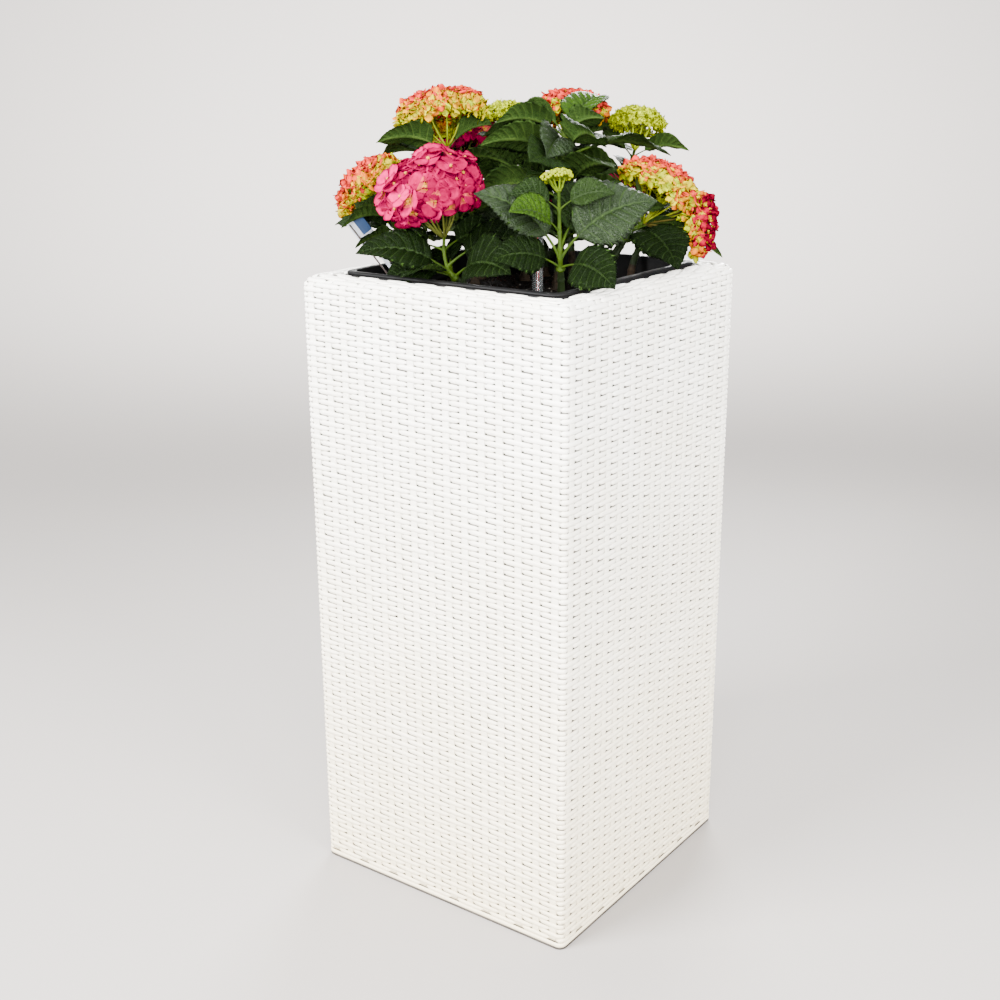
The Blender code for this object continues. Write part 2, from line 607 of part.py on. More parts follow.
# A leaf that has no room turns, lifts or shortens a little, in this order, and is else left out:
# degrees of turn, degrees of lift, share of its length.
NUDGES = [(0, 0, 1.0), (0, 8, 1.0), (8, 0, 1.0), (-8, 0, 1.0), (0, -8, 1.0), (0, 16, 0.95),
          (16, 6, 0.95), (-16, 6, 0.95), (0, -16, 0.95), (25, 0, 0.9), (-25, 0, 0.9),
          (12, 16, 0.85), (-12, 16, 0.85), (12, -14, 0.85), (-12, -14, 0.85), (0, 0, 0.8),
          (35, 8, 0.8), (-35, 8, 0.8), (0, 24, 0.8), (0, 0, 0.68)]


def stem_point(path, height):
    """The place on a stem's middle line at a share of its length."""
    place = height * (len(path) - 1)
    low = min(int(place), len(path) - 2)
    return path[low] + (path[low + 1] - path[low]) * (place - low)


def in_crown(verts):
    reach = np.hypot(verts[:, 0], verts[:, 1]).max()
    return reach < CROWN_REACH and verts[:, 2].max() < CROWN_TOP


blades = {name: [] for name in SHOOTS}
placed = {name: [] for name in SHOOTS}
random = np.random.default_rng(SEED)

for name, shoot in SHOOTS.items():
    path = stems[name][0]
    others = [tree for key, trees in obstacles.items() if key != name for tree in trees]
    others += [tree for key, trees in head_space.items() if key != name for tree in trees]
    for wanted in shoot.leaves:
        turn, lift, roll = random.normal(0, (3, 2, 5))
        size = random.uniform(0.96, 1.04)
        for nudge in NUDGES:
            leaf = Leaf(wanted.height, wanted.bearing + turn + nudge[0],
                        wanted.rise + lift + nudge[1], wanted.length * size * nudge[2],
                        wanted.roll + roll)
            root = stem_point(path, leaf.height)
            verts, faces = leaf_solid(root, leaf, TEST_THICKNESS)
            tree = tree_of(verts, faces)
            blade = tree_of(verts, [face for face in faces if min(face) > 3])
            in_way = [t for t in others if tree.overlap(t)]
            in_way += [t for t in blades[name] + head_space[name] if blade.overlap(t)]
            if not in_way and in_crown(verts):
                placed[name].append(leaf)
                blades[name].append(blade)
                obstacles[name].append(tree)
                break


def islands_of(shape):
    """The separate skins of a bmesh, as sets of vertices, smallest first."""
    seen = set()
    islands = []
    for vert in shape.verts:
        if vert in seen:
            continue
        island, to_visit = {vert}, [vert]
        while to_visit:
            for edge in to_visit.pop().link_edges:
                fresh = [other for other in edge.verts if other not in island]
                island.update(fresh)
                to_visit.extend(fresh)
        seen |= island
        islands.append(island)
    return sorted(islands, key=len)


def drop_fins(shape):
    """Take away every pair of triangles on the same three corners: a fin of no thickness."""
    on_corners = defaultdict(list)
    for face in shape.faces:
        on_corners[frozenset(face.verts)].append(face)
    fins = [face for same in on_corners.values() if len(same) > 1 for face in same]
    bmesh.ops.delete(shape, geom=fins, context="FACES")


def outer_body(mesh):
    """The largest skin of a mesh, in triangles: loose scraps and sealed hollows are dropped."""
    shape = bmesh.new()
    shape.from_mesh(mesh)
    bmesh.ops.triangulate(shape, faces=shape.faces)
    drop_fins(shape)
    scraps = [vert for island in islands_of(shape)[:-1] for vert in island]
    bmesh.ops.delete(shape, geom=scraps, context="VERTS")
    return shape


def fuse(name, first, others, colour):
    """One Boolean union on a collection joins a mass; it is applied and its pieces are removed."""
    together = bpy.data.collections.new("fuse_" + name)
    bpy.context.scene.collection.children.link(together)
    for k, mesh in enumerate(others):
        together.objects.link(bpy.data.objects.new(f"{name}_{k}", mesh))
    mass = add_object(name, first, parts, colour, 0.6)
    step = mass.modifiers.new("fuse", "BOOLEAN")
    step.operation = "UNION"
    step.operand_type = "COLLECTION"
    step.collection = together
    for solver in ("EXACT", "MANIFOLD"):
        step.solver = solver
        body = outer_body(evaluated_mesh(mass))
        if all(edge.is_manifold for edge in body.edges):
            break
    mass.modifiers.remove(step)
    body.to_mesh(mass.data)
    body.free()
    for piece in list(together.objects):
        bpy.data.objects.remove(piece)
    bpy.data.collections.remove(together)


for name, shoot in SHOOTS.items():
    path, stem = stems[name]
    pieces = []
    for leaf in placed[name]:
        pieces.append(mesh_of("leaf", *leaf_solid(stem_point(path, leaf.height), leaf,
                                                  BLADE_THICKNESS)))
    for kind, centre, radius in shoot.heads:
        pieces += head_pieces(kind, shoot.tip, centre, radius)
    colour = HEADS[shoot.heads[0][0]].colour if shoot.heads else (0.06, 0.20, 0.04)
    fuse("mass_" + name, stem, pieces, colour)

bpy.data.collections.remove(cutters)
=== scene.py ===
from collections import namedtuple
from math import cos, radians, sin

import bpy
import numpy as np
from mathutils import Matrix, Vector


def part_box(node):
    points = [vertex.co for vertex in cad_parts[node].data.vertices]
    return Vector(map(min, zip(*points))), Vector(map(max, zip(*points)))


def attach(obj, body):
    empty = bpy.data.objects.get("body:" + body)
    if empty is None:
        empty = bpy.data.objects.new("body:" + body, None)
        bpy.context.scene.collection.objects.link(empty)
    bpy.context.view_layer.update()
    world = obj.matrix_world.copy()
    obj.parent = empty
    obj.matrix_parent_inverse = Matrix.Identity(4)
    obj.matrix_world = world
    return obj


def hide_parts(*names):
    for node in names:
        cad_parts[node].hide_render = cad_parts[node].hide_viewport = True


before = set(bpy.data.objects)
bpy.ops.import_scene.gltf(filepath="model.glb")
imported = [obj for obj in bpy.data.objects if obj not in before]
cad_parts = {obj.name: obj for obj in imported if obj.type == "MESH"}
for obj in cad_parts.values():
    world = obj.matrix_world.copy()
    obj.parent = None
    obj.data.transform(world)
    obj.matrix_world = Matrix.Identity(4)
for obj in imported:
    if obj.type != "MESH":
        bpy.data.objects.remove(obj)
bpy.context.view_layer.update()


# ---- Studio ------------------------------------------------------------------------------------
# A plain pale sweep, flat under the planter and curving up far behind it.  Large soft lamps stand
# at the left, at the right, in front, high up behind and, a weak one, on the far side.  The camera
# is a little above the planter's rim and looks down at one of its corners.
CAMERA_PLACE = (1.0060, -1.4271, 1.0579)
CAMERA_BEARING = 36.1796
CAMERA_DIP = 17.7861
CAMERA_ROLL = -0.3664
CAMERA_LENS = 50.487
CAMERA_NEAREST = 0.05
FLOOR_RADIUS = 2.5
FLOOR_LEVEL = -0.0004
FLOOR_ROUGHNESS = 0.85
SWEEP_RADIUS = 9.0
SWEEP_HEIGHT = 2.6
SWEEP_RINGS = 25
SWEEP_CORNERS = 96
SWEEP_COLOUR = (0.264, 0.245, 0.230)
ROOM_COLOUR = (0.92, 0.92, 0.92)
ROOM_STRENGTH = 1.9
# One lamp: its name, place and aim, its side, its power in watts and its beam in degrees.
LAMPS = [
    ("key", (-1.1, -2.6, 2.5), (0.0, 0.0, 0.70), 1.6, 760.0, 180.0),
    ("fill", (2.9, -0.6, 2.0), (0.0, 0.0, 0.65), 1.6, 340.0, 180.0),
    ("front", (1.35, -1.95, 1.30), (0.0, 0.0, 0.80), 1.4, 230.0, 180.0),
    ("back", (-1.2, 1.6, 4.2), (-4.2, 5.7, 1.1), 3.0, 1500.0, 105.0),
    ("far side", (-1.1, 2.4, 1.6), (0.0, 0.05, 0.80), 1.4, 90.0, 80.0),
]


def placed(name, data):
    """A new object in the scene, with the data that it shows."""
    made = bpy.data.objects.new(name, data)
    bpy.context.scene.collection.objects.link(made)
    return made


def set_sockets(node, values):
    """Sets a node's input sockets by name; a colour gets an alpha of 1."""
    for socket, value in values.items():
        node.inputs[socket].default_value = (*value, 1.0) if isinstance(value, tuple) else value


def turn_angles(count):
    """Angles of count corners, spread evenly round a circle."""
    return np.linspace(0.0, 2 * np.pi, count, endpoint=False)


def points(x, y, z):
    """Whole arrays of coordinates joined into points."""
    return np.stack(np.broadcast_arrays(x, y, z), axis=-1)


def ring_points(radius, angle, level):
    """Points round the upright axis: the radius times the cosine and sine of the angle."""
    return points(radius * np.cos(angle), radius * np.sin(angle), level)


camera = placed("camera", bpy.data.cameras.new("camera"))
camera.data.lens = CAMERA_LENS
camera.data.clip_start = CAMERA_NEAREST
camera.matrix_world = (Matrix.Translation(CAMERA_PLACE)
                       @ Matrix.Rotation(radians(CAMERA_BEARING), 4, "Z")
                       @ Matrix.Rotation(radians(90.0 - CAMERA_DIP), 4, "X")
                       @ Matrix.Rotation(radians(CAMERA_ROLL), 4, "Z"))
bpy.context.scene.camera = camera

for lamp_name, place, aim, size, power, beam in LAMPS:
    lamp = placed(lamp_name, bpy.data.lights.new(lamp_name, "AREA"))
    lamp.data.size = size
    lamp.data.energy = power
    lamp.data.spread = radians(beam)
    towards = Vector(aim) - Vector(place)
    lamp.matrix_world = Matrix.Translation(place) @ towards.to_track_quat("-Z", "Y").to_matrix().to_4x4()

room = bpy.data.worlds.new("room")
room.use_nodes = True
set_sockets(room.node_tree.nodes["Background"], {"Color": ROOM_COLOUR, "Strength": ROOM_STRENGTH})
bpy.context.scene.world = room

sweep_climb = np.linspace(0.0, 1.0, SWEEP_RINGS)[:, None]
sweep_points = ring_points(FLOOR_RADIUS + (SWEEP_RADIUS - FLOOR_RADIUS) * sweep_climb,
                           turn_angles(SWEEP_CORNERS), FLOOR_LEVEL + SWEEP_HEIGHT * sweep_climb ** 3)
sweep_index = np.arange(SWEEP_RINGS * SWEEP_CORNERS).reshape(SWEEP_RINGS, SWEEP_CORNERS)
sweep_beside = np.roll(sweep_index, -1, axis=1)
sweep_quads = np.stack([sweep_index[:-1], sweep_index[1:], sweep_beside[1:], sweep_beside[:-1]], axis=-1)
floor_mesh = bpy.data.meshes.new("floor")
floor_mesh.from_pydata(sweep_points.reshape(-1, 3).tolist(), [],
                       [list(range(SWEEP_CORNERS))] + sweep_quads.reshape(-1, 4).tolist())
floor_mesh.polygons.foreach_set("use_smooth", np.ones(len(floor_mesh.polygons), dtype=bool))
floor_finish = bpy.data.materials.new("floor")
floor_finish.use_nodes = True
set_sockets(floor_finish.node_tree.nodes["Principled BSDF"],
            {"Base Color": SWEEP_COLOUR, "Roughness": FLOOR_ROUGHNESS})
floor_mesh.materials.append(floor_finish)
placed("floor", floor_mesh)


# ---- Woven skin of the planter -------------------------------------------------------------------
# Flat white resin strand woven by hand over one stake and under the next, row on row up the walls,
# over the rolled rim and in to the liner, drawn tight on upright stakes of the same resin.  One
# plain strand goes round the foot.  Towards the floor the white is blended into a darker warm cream:
# painted light, for light bounced up from the floor and less lamp light low on the wall.
SIDE_STAKES = 15
ROLLED_RIM = 0.014
CORNER_RADIUS = 0.010
LINER_CORNER = 0.018
LINER_GAP = 0.0012
STRAND_PITCH = 0.0066
STRAND_WIDTH = 0.0062
STRAND_THICKNESS = 0.0022
# Corners of a strand's cross-section as shares of its width and thickness.
STRAND_SECTION = [(0.44, -1.0), (0.51, -0.60), (0.24, 0.0), (-0.24, 0.0), (-0.51, -0.60),
                  (-0.44, -1.0)]
# A strand dives behind every second stake.  Along it, distances are counted in stakes from there.
FIRST_DIVE = 1.5
DIVE_STATIONS = [-1.0, -0.75, -0.5, -0.36, -0.27, -0.18, 0.0, 0.18, 0.27, 0.36, 0.5, 0.75]
DIVE_START = 0.40
DIVE_END = 0.16
STRAND_DIVE = 0.0022
STRAND_BELLY = 0.00025
STRAND_SLACK = 0.00022
STRAND_TILT = 0.00022
ROW_WANDER = 0.00016
PINCH = 0.48
PINCH_PLACE = 0.28
PINCH_REACH = 0.055
FOOT_BAND_LEVEL = 0.0054
FOOT_BAND_WIDTH = 0.0058
FOOT_BAND_STATIONS = 480
FIRST_ROW = 0.0112
ROWS_A_BAND = 42
WEAVING_SEED = 5
STAKE_WIDTH = 0.0104
STAKE_THICKNESS = 0.0011
STAKE_SECTION = [(0.0, 0.36), (-0.4, 0.5), (-1.0, 0.42), (-1.0, -0.42), (-0.4, -0.5), (0.0, -0.36)]
STAKE_OUT = -0.0011
STAKE_IN = -0.0026
STRAND_WHITE = (0.86, 0.840, 0.785)
STRAND_CREAM = (0.78, 0.750, 0.670)
STAKE_WHITE = (0.80, 0.78, 0.72)
# Painted light: a darker warm cream low on the walls, for light bounced up from the floor.
FLOOR_BOUNCE_TINT = (0.64, 0.520, 0.290)
FLOOR_BOUNCE_REACH = 0.70
FLOOR_BOUNCE_SHARE = 0.68

planter_low, planter_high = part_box("woven_planter")
planter_half = (planter_high[0] - planter_low[0]) / 2
planter_height = planter_high[2]
liner_low, liner_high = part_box("liner")
liner_rim_half = (liner_high[0] - liner_low[0]) / 2
wall_run = planter_height - ROLLED_RIM
roll_run = ROLLED_RIM * np.pi / 2
flat_run = planter_half - ROLLED_RIM - liner_rim_half - LINER_GAP
skin_run = wall_run + roll_run + flat_run


def rounded_square(around, half, corner):
    """Points and outward directions of a square with round corners.  around goes from 0 to 4, one
    for each side: from the middle of a side the line runs straight, then turns through an eighth
    of a circle up to the middle of the corner."""
    side = np.floor(around)
    straight = half - corner
    along = (around - side - 0.5) * (2 * straight + corner * np.pi / 2)
    turned = np.clip((np.abs(along) - straight) / corner, 0.0, None)
    sideways = np.sign(along) * (np.minimum(np.abs(along), straight) + corner * np.sin(turned))
    outwards = straight + corner * np.cos(turned)
    lean = np.sign(along) * turned
    quarter = side * np.pi / 2
    x = outwards * np.cos(quarter) - sideways * np.sin(quarter)
    y = outwards * np.sin(quarter) + sideways * np.cos(quarter)
    return x, y, np.cos(quarter + lean), np.sin(quarter + lean)


def planter_skin(around, up):
    """Place, outward and upward direction of the planter's skin.  up runs up the wall, then over
    a quarter circle at the rim, then flat inwards; around counts stakes round the square."""
    tipped = np.clip((up - wall_run) / ROLLED_RIM, 0.0, np.pi / 2)
    flat = np.maximum(up - wall_run - roll_run, 0.0)
    half = planter_half - ROLLED_RIM * (1 - np.cos(tipped)) - flat
    level = np.minimum(up, wall_run) + ROLLED_RIM * np.sin(tipped)
    corner = CORNER_RADIUS + (LINER_CORNER - CORNER_RADIUS) * flat / flat_run
    x, y, out_x, out_y = rounded_square(around / SIDE_STAKES, half, corner)
    outward = points(out_x * np.cos(tipped), out_y * np.cos(tipped), np.sin(tipped))
    upward = points(-out_x * np.sin(tipped), -out_y * np.sin(tipped), np.cos(tipped))
    return points(x, y, level), outward, upward


def smooth_step(value):
    """From 0 to 1 as value goes from 0 to 1, level at both ends: 3v^2 - 2v^3."""
    value = np.clip(value, 0.0, 1.0)
    return value * value * (3 - 2 * value)


def wire(tree, nodes, joints):
    """Adds nodes to a shader and joins them.  A node has a label, a kind and its values, where a
    key in small letters is a setting of the node and any other is a socket.  A joint reads
    "label.Output > label.Input"."""
    for label, kind, values in nodes:
        node = tree.nodes.new("ShaderNode" + kind)
        node.name = label
        for setting in filter(str.islower, values):
            setattr(node, setting, values[setting])
        set_sockets(node, {socket: values[socket] for socket in values if not socket.islower()})
    for joint in joints:
        (source, output), (target, socket) = (end.split(".") for end in joint.split(" > "))
        tree.links.new(tree.nodes[source].outputs[output], tree.nodes[target].inputs[socket])


def shader_group(name, given, results, nodes, joints):
    """A shader node group: given and results tell the kinds of its sockets, by name, and its nodes
    are wired between them."""
    group = bpy.data.node_groups.new(name, "ShaderNodeTree")
    for way, sockets in (("INPUT", given), ("OUTPUT", results)):
        for socket, kind in sockets.items():
            group.interface.new_socket(socket, in_out=way, socket_type="NodeSocket" + kind)
    group.nodes.new("NodeGroupInput").name = "given"
    group.nodes.new("NodeGroupOutput").name = "result"
    wire(group, nodes, joints)
    return group


# The group of every finish that isn't even: broad noise on the piece's own place blends a colour
# into a deeper one and the smooth into the rough, and fine noise raises a grain.
mottle = shader_group(
    "mottle",
    {"Colour": "Color", "Deep Colour": "Color", "Patch Scale": "Float", "Grain Scale": "Float",
     "Grain Depth": "Float", "Smooth": "Float", "Rough": "Float"},
    {"Colour": "Color", "Roughness": "Float", "Normal": "Vector"},
    [("place", "TexCoord", {}),
     ("patches", "TexNoise", {"Detail": 4.0}),
     ("grain", "TexNoise", {"Detail": 3.0}),
     ("spread", "MapRange", {"From Min": 0.34, "From Max": 0.66}),
     ("blend", "Mix", {"data_type": "RGBA"}),
     ("gloss", "MapRange", {}),
     ("bump", "Bump", {"Strength": 0.7})],
    ["place.Object > patches.Vector", "given.Patch Scale > patches.Scale",
     "place.Object > grain.Vector", "given.Grain Scale > grain.Scale",
     "patches.Fac > spread.Value", "spread.Result > blend.Factor",
     "given.Colour > blend.A", "given.Deep Colour > blend.B", "blend.Result > result.Colour",
     "patches.Fac > gloss.Value", "given.Smooth > gloss.To Min", "given.Rough > gloss.To Max",
     "gloss.Result > result.Roughness", "grain.Fac > bump.Height",
     "given.Grain Depth > bump.Distance", "bump.Normal > result.Normal"])


def group_finish(name, group, values, fixed):
    """A finish that takes all that a node group gives; values are set on the group's sockets and
    fixed on the shader's own."""
    made = bpy.data.materials.new(name)
    made.use_nodes = True
    shader = made.node_tree.nodes["Principled BSDF"]
    skin = made.node_tree.nodes.new("ShaderNodeGroup")
    skin.name = "skin"
    skin.node_tree = group
    set_sockets(skin, values)
    set_sockets(shader, fixed)
    for result in skin.outputs:
        socket = "Base Color" if result.name == "Colour" else result.name
        made.node_tree.links.new(result, shader.inputs[socket])
    return made


def finish(name, colour, deep, patch=40.0, grain=500.0, depth=0.0003, smooth=0.35, rough=0.55,
           shine=0.5):
    """A finish on the mottle group; shine is the strength of its mirror-like part."""
    values = {"Colour": colour, "Deep Colour": deep, "Patch Scale": patch, "Grain Scale": grain,
              "Grain Depth": depth, "Smooth": smooth, "Rough": rough}
    return group_finish(name, mottle, values, {"Specular IOR Level": shine})


def piece(name, verts, face_sets, finishes, slot, finish_of_face=None):
    """One piece of the object from whole arrays: each face set is an array with a row a face."""
    corners = np.concatenate([faces.ravel() for faces in face_sets]).astype(np.int32)
    sizes = np.concatenate([np.full(len(faces), faces.shape[1]) for faces in face_sets])
    mesh = bpy.data.meshes.new(name)
    mesh.vertices.add(len(verts))
    mesh.vertices.foreach_set("co", np.ascontiguousarray(verts, dtype=np.float32).ravel())
    mesh.loops.add(len(corners))
    mesh.loops.foreach_set("vertex_index", corners)
    mesh.polygons.add(len(sizes))
    mesh.polygons.foreach_set("loop_start", (np.cumsum(sizes) - sizes).astype(np.int32))
    mesh.polygons.foreach_set("use_smooth", np.ones(len(sizes), dtype=bool))
    for each in finishes:
        mesh.materials.append(each)
    if finish_of_face is not None:
        mesh.polygons.foreach_set("material_index", np.asarray(finish_of_face, dtype=np.int32))
    mesh.update(calc_edges=True)
    made = placed(name, mesh)
    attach(made, "root")
    return made


def hoop_skin(rings):
    """Skin of closed hoops: rings is (hoop, ring, corner, xyz), the last ring joined to the first."""
    index = np.arange(np.prod(rings.shape[:3])).reshape(rings.shape[:3])
    beside = np.roll(index, -1, axis=2)
    quads = np.stack([index, beside, np.roll(beside, -1, axis=1), np.roll(index, -1, axis=1)], axis=-1)
    return rings.reshape(-1, 3), [quads.reshape(-1, 4)]


def tube_skin(rings):
    """Skin of tubes: rings is (tube, ring, corner, xyz), anticlockwise seen from the far end.  The
    sides come first, then a fan of triangles to the middle of each first ring, then of each last."""
    index = np.arange(np.prod(rings.shape[:3])).reshape(rings.shape[:3])
    beside = np.roll(index, -1, axis=2)
    quads = np.stack([index[:, :-1], beside[:, :-1], beside[:, 1:], index[:, 1:]], axis=-1)
    middles = index.size + np.arange(2 * len(rings)).reshape(2, -1, 1)
    fans = np.concatenate([points(beside[:, 0], index[:, 0], middles[0]),
                           points(index[:, -1], beside[:, -1], middles[1])])
    verts = np.concatenate([rings.reshape(-1, 3), rings[:, 0].mean(axis=1), rings[:, -1].mean(axis=1)])
    return verts, [quads.reshape(-1, 4), fans.reshape(-1, 3)]


def cross_sections(place, first, first_by, second, second_by):
    """Rings of points: each place moved along two directions of its own, by the amounts that they
    have at each corner of its cross-section."""
    return (place[..., None, :] + first[..., None, :] * first_by[..., None]
            + second[..., None, :] * second_by[..., None])


def strand_rows(rows, chance):
    """Rows of strand as hoops.  A strand lies on the skin, and near every second stake it dives
    behind it: its depth is a smooth step of the distance to that stake, and a bell beside the stake
    draws it narrower.  Rows wander a little."""
    dives = 2 * SIDE_STAKES
    from_dive = np.tile(DIVE_STATIONS, dives)
    stations = np.repeat(2 * np.arange(dives), len(DIVE_STATIONS)) + from_dive
    around = np.mod(stations + (FIRST_DIVE + np.mod(rows, 2)[:, None]), 4 * SIDE_STAKES)
    away = np.abs(from_dive)[None, :]
    sunk = 1 - smooth_step((away - DIVE_END) / (DIVE_START - DIVE_END))
    wander = chance.normal(0.0, ROW_WANDER, (len(rows), 2 * dives))
    wander = np.repeat(wander, len(DIVE_STATIONS) // 2, axis=1)
    tilt = STRAND_TILT * np.sign(from_dive) * np.sin(np.pi * away)
    slack = chance.uniform(0.0, STRAND_SLACK, (len(rows), 1))
    belly = STRAND_BELLY * (1 - smooth_step(1 - away))
    pinched = STRAND_WIDTH * (1 - PINCH * np.exp(-((away - PINCH_PLACE) / PINCH_REACH) ** 2))
    row_up = FIRST_ROW + STRAND_PITCH * rows[:, None] + wander + tilt
    place, outward, upward = planter_skin(around, row_up)
    sunk_by = (sunk * STRAND_DIVE + slack + STRAND_BELLY - belly)[..., None]
    return cross_sections(place, upward, section[:, 0] * pinched[..., None],
                          outward, section[:, 1] * STRAND_THICKNESS - sunk_by)


def painted_floor_bounce(made):
    """Blends painted light into a finish's colour: a darker warm cream for light bounced up from the
    floor, strongest at the floor and less and less up to the reach.
    """
    wire(made.node_tree,
         [("place", "TexCoord", {}),
          ("height", "SeparateXYZ", {}),
          ("share", "MapRange", {"From Max": FLOOR_BOUNCE_REACH, "To Min": FLOOR_BOUNCE_SHARE, "To Max": 0.0}),
          ("foot", "Mix", {"data_type": "RGBA", "B": FLOOR_BOUNCE_TINT})],
         ["place.Object > height.Vector", "height.Z > share.Value", "share.Result > foot.Factor",
          "skin.Colour > foot.A", "foot.Result > Principled BSDF.Base Color"])


strand_finish = finish("white_strand", STRAND_WHITE, STRAND_CREAM, patch=14.0, grain=900.0,
                       depth=0.00015, smooth=0.34, rough=0.50)
stake_finish = finish("white_stake", STAKE_WHITE, STRAND_CREAM, patch=30.0, grain=900.0,
                      depth=0.00015, smooth=0.40, rough=0.55)
# Painted floor bounce on the strand and the stakes.
painted_floor_bounce(strand_finish)
painted_floor_bounce(stake_finish)
weaving_chance = np.random.default_rng(WEAVING_SEED)
section = np.array(STRAND_SECTION)
row_count = int((skin_run - FIRST_ROW - STRAND_WIDTH / 2) / STRAND_PITCH) + 1
woven_pieces = []
for band, first in enumerate(range(0, row_count, ROWS_A_BAND)):
    band_rows = np.arange(first, min(first + ROWS_A_BAND, row_count))
    band_rings = strand_rows(band_rows, weaving_chance)
    woven_pieces.append(piece(f"strand_rows_{band + 1}", *hoop_skin(band_rings), [strand_finish], "strand"))

foot_around = np.linspace(0, 4 * SIDE_STAKES, FOOT_BAND_STATIONS, endpoint=False)[None, :]
foot_place, foot_out, foot_upward = planter_skin(foot_around, np.full((1, 1), FOOT_BAND_LEVEL))
foot_rings = cross_sections(foot_place, foot_upward, section[:, 0] * FOOT_BAND_WIDTH,
                            foot_out, section[:, 1] * STRAND_THICKNESS)
woven_pieces.append(piece("foot_band", *hoop_skin(foot_rings), [strand_finish], "strand"))

stake_rows = np.arange(0, row_count - 0.5, 0.5)
stake_around = np.arange(4 * SIDE_STAKES) + 0.5
covered = np.cos(np.pi * (stake_rows[None, :] + stake_around[:, None] - 0.5))
stake_depth = STAKE_IN + (STAKE_OUT - STAKE_IN) * (1 - covered) / 2
stake_place, stake_out, stake_upward = planter_skin(stake_around[:, None],
                                                    (FIRST_ROW + STRAND_PITCH * stake_rows)[None, :])
stake_section = np.array(STAKE_SECTION)
stake_rings = cross_sections(stake_place, stake_out,
                             stake_section[:, 0] * STAKE_THICKNESS + stake_depth[..., None],
                             np.cross(stake_upward, stake_out), stake_section[:, 1] * STAKE_WIDTH)
woven_pieces.append(piece("stakes", *tube_skin(stake_rings), [stake_finish], "strand"))


# ---- Body behind the weave -----------------------------------------------------------------------
# A plain sheet box that the strand is woven round.  It closes the foot and holds the ledge that the
# liner hangs on.  Its dark brown is painted shade: it is seen only in the small gaps beside the stakes,
# where it stands for the shade inside the weave, and as a thin edge below, a painted shadow line
# under the foot band.
BODY_INSET = 0.0050
BODY_FOOT = 0.0002
BODY_EDGE = 0.001
# The thin edge at the foot, under the foot band, is a painted shadow line.
SHADOW_LINE_INSET = 0.0004
SHADOW_LINE_TOP = 0.0023
SEAT_DEPTH = 0.005
LEDGE_DEPTH = 0.018
LEDGE_GAP = 0.002
LINER_LIP = 0.007
WALL = 0.007
# Painted shade: the body's browns stand for the shade in the gaps of the weave.
GAP_SHADE_BROWN = (0.050, 0.038, 0.028)
GAP_SHADE_DEEP = (0.025, 0.019, 0.014)
# Places along a side of a square box, close together at its corners.
SQUARE_STATIONS = np.concatenate([np.linspace(0.0, 0.08, 7), [0.3, 0.5, 0.7], np.linspace(0.92, 1.0, 7)])


def square_box(profile):
    """Rings of round-cornered squares, one for each (half width, level, corner) of the profile."""
    around = (np.arange(4)[:, None] + SQUARE_STATIONS[None, :-1]).ravel()
    half, level, corner = (np.array(column)[:, None] for column in zip(*profile))
    x, y, _, _ = rounded_square(around[None, :], half, corner)
    return points(x, y, level)[None]


body_half = planter_half - BODY_INSET
shadow_line_half = planter_half - SHADOW_LINE_INSET
cavity_half = planter_half - WALL
lip_half = liner_rim_half - LINER_LIP
lip_corner = LINER_CORNER - LINER_LIP
seat_level = planter_height - SEAT_DEPTH
ledge_level = planter_height - LEDGE_DEPTH
body_profile = [
    (shadow_line_half, BODY_FOOT, CORNER_RADIUS),
    (shadow_line_half, SHADOW_LINE_TOP, CORNER_RADIUS),
    (body_half, SHADOW_LINE_TOP, CORNER_RADIUS),
    (body_half, seat_level - BODY_EDGE, CORNER_RADIUS),
    (body_half - BODY_EDGE, seat_level, CORNER_RADIUS),
    (lip_half + LEDGE_GAP, seat_level, lip_corner),
    (lip_half + LEDGE_GAP, ledge_level, lip_corner),
    (cavity_half, ledge_level, CORNER_RADIUS),
    (cavity_half, WALL, CORNER_RADIUS),
]
body_shade_finish = finish("gap_shade_sheet", GAP_SHADE_BROWN, GAP_SHADE_DEEP, patch=20.0, smooth=0.6, rough=0.8)
woven_pieces.append(piece("planter_body", *tube_skin(square_box(body_profile)), [body_shade_finish], "strand"))
for woven in woven_pieces:
    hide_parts("woven_planter")


# ---- Liner ---------------------------------------------------------------------------------------
# The inner pot, moulded in anthracite plastic.  Its rim lies on the planter's ledge, with a groove
# along the outside, and its lip turns down into a thin wall.  Its grey is darkened close to black,
# partly as painted shade for the shade inside the pot under the leaves.
LINER_WALL = 0.003
# The least gap between a sub-part and the one that carries it.
FIT = 0.0003
RIM_GROOVE = 0.0009
# Partly painted shade: the anthracite is darkened further for the shade under the leaves.
LINER_GREY_AND_SHADE = (0.0034, 0.0034, 0.0037)
LINER_DUST = (0.0056, 0.0055, 0.0054)

rim_half = liner_high[0]
rim_top = liner_high[2]
rim_foot = seat_level + FIT
liner_half = rim_half - LINER_LIP
inner_half = liner_half - LINER_WALL
liner_profile = [
    (liner_half, liner_low[2], lip_corner),
    (liner_half, rim_foot, lip_corner),
    (rim_half - 0.0006, rim_foot, LINER_CORNER),
    (rim_half, rim_foot + 0.0006, LINER_CORNER),
    (rim_half, rim_foot + 0.0030, LINER_CORNER),
    (rim_half - RIM_GROOVE, rim_foot + 0.0035, LINER_CORNER),
    (rim_half - RIM_GROOVE, rim_foot + 0.0043, LINER_CORNER),
    (rim_half, rim_foot + 0.0048, LINER_CORNER),
    (rim_half, rim_top - 0.0018, LINER_CORNER),
    (rim_half - 0.0006, rim_top - 0.0006, LINER_CORNER),
    (rim_half - 0.0019, rim_top, LINER_CORNER),
    (inner_half + 0.0016, rim_top, lip_corner),
    (inner_half + 0.0005, rim_top - 0.0005, lip_corner),
    (inner_half, rim_top - 0.0016, lip_corner),
    (inner_half, liner_low[2] + LINER_WALL, lip_corner),
]
liner_finish = finish("anthracite_and_shade", LINER_GREY_AND_SHADE, LINER_DUST, patch=22.0, grain=1400.0,
                      depth=0.0002, smooth=0.42, rough=0.60, shine=0.06)
liner = piece("liner_pot", *tube_skin(square_box(liner_profile)), [liner_finish], "liner")
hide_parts("liner")
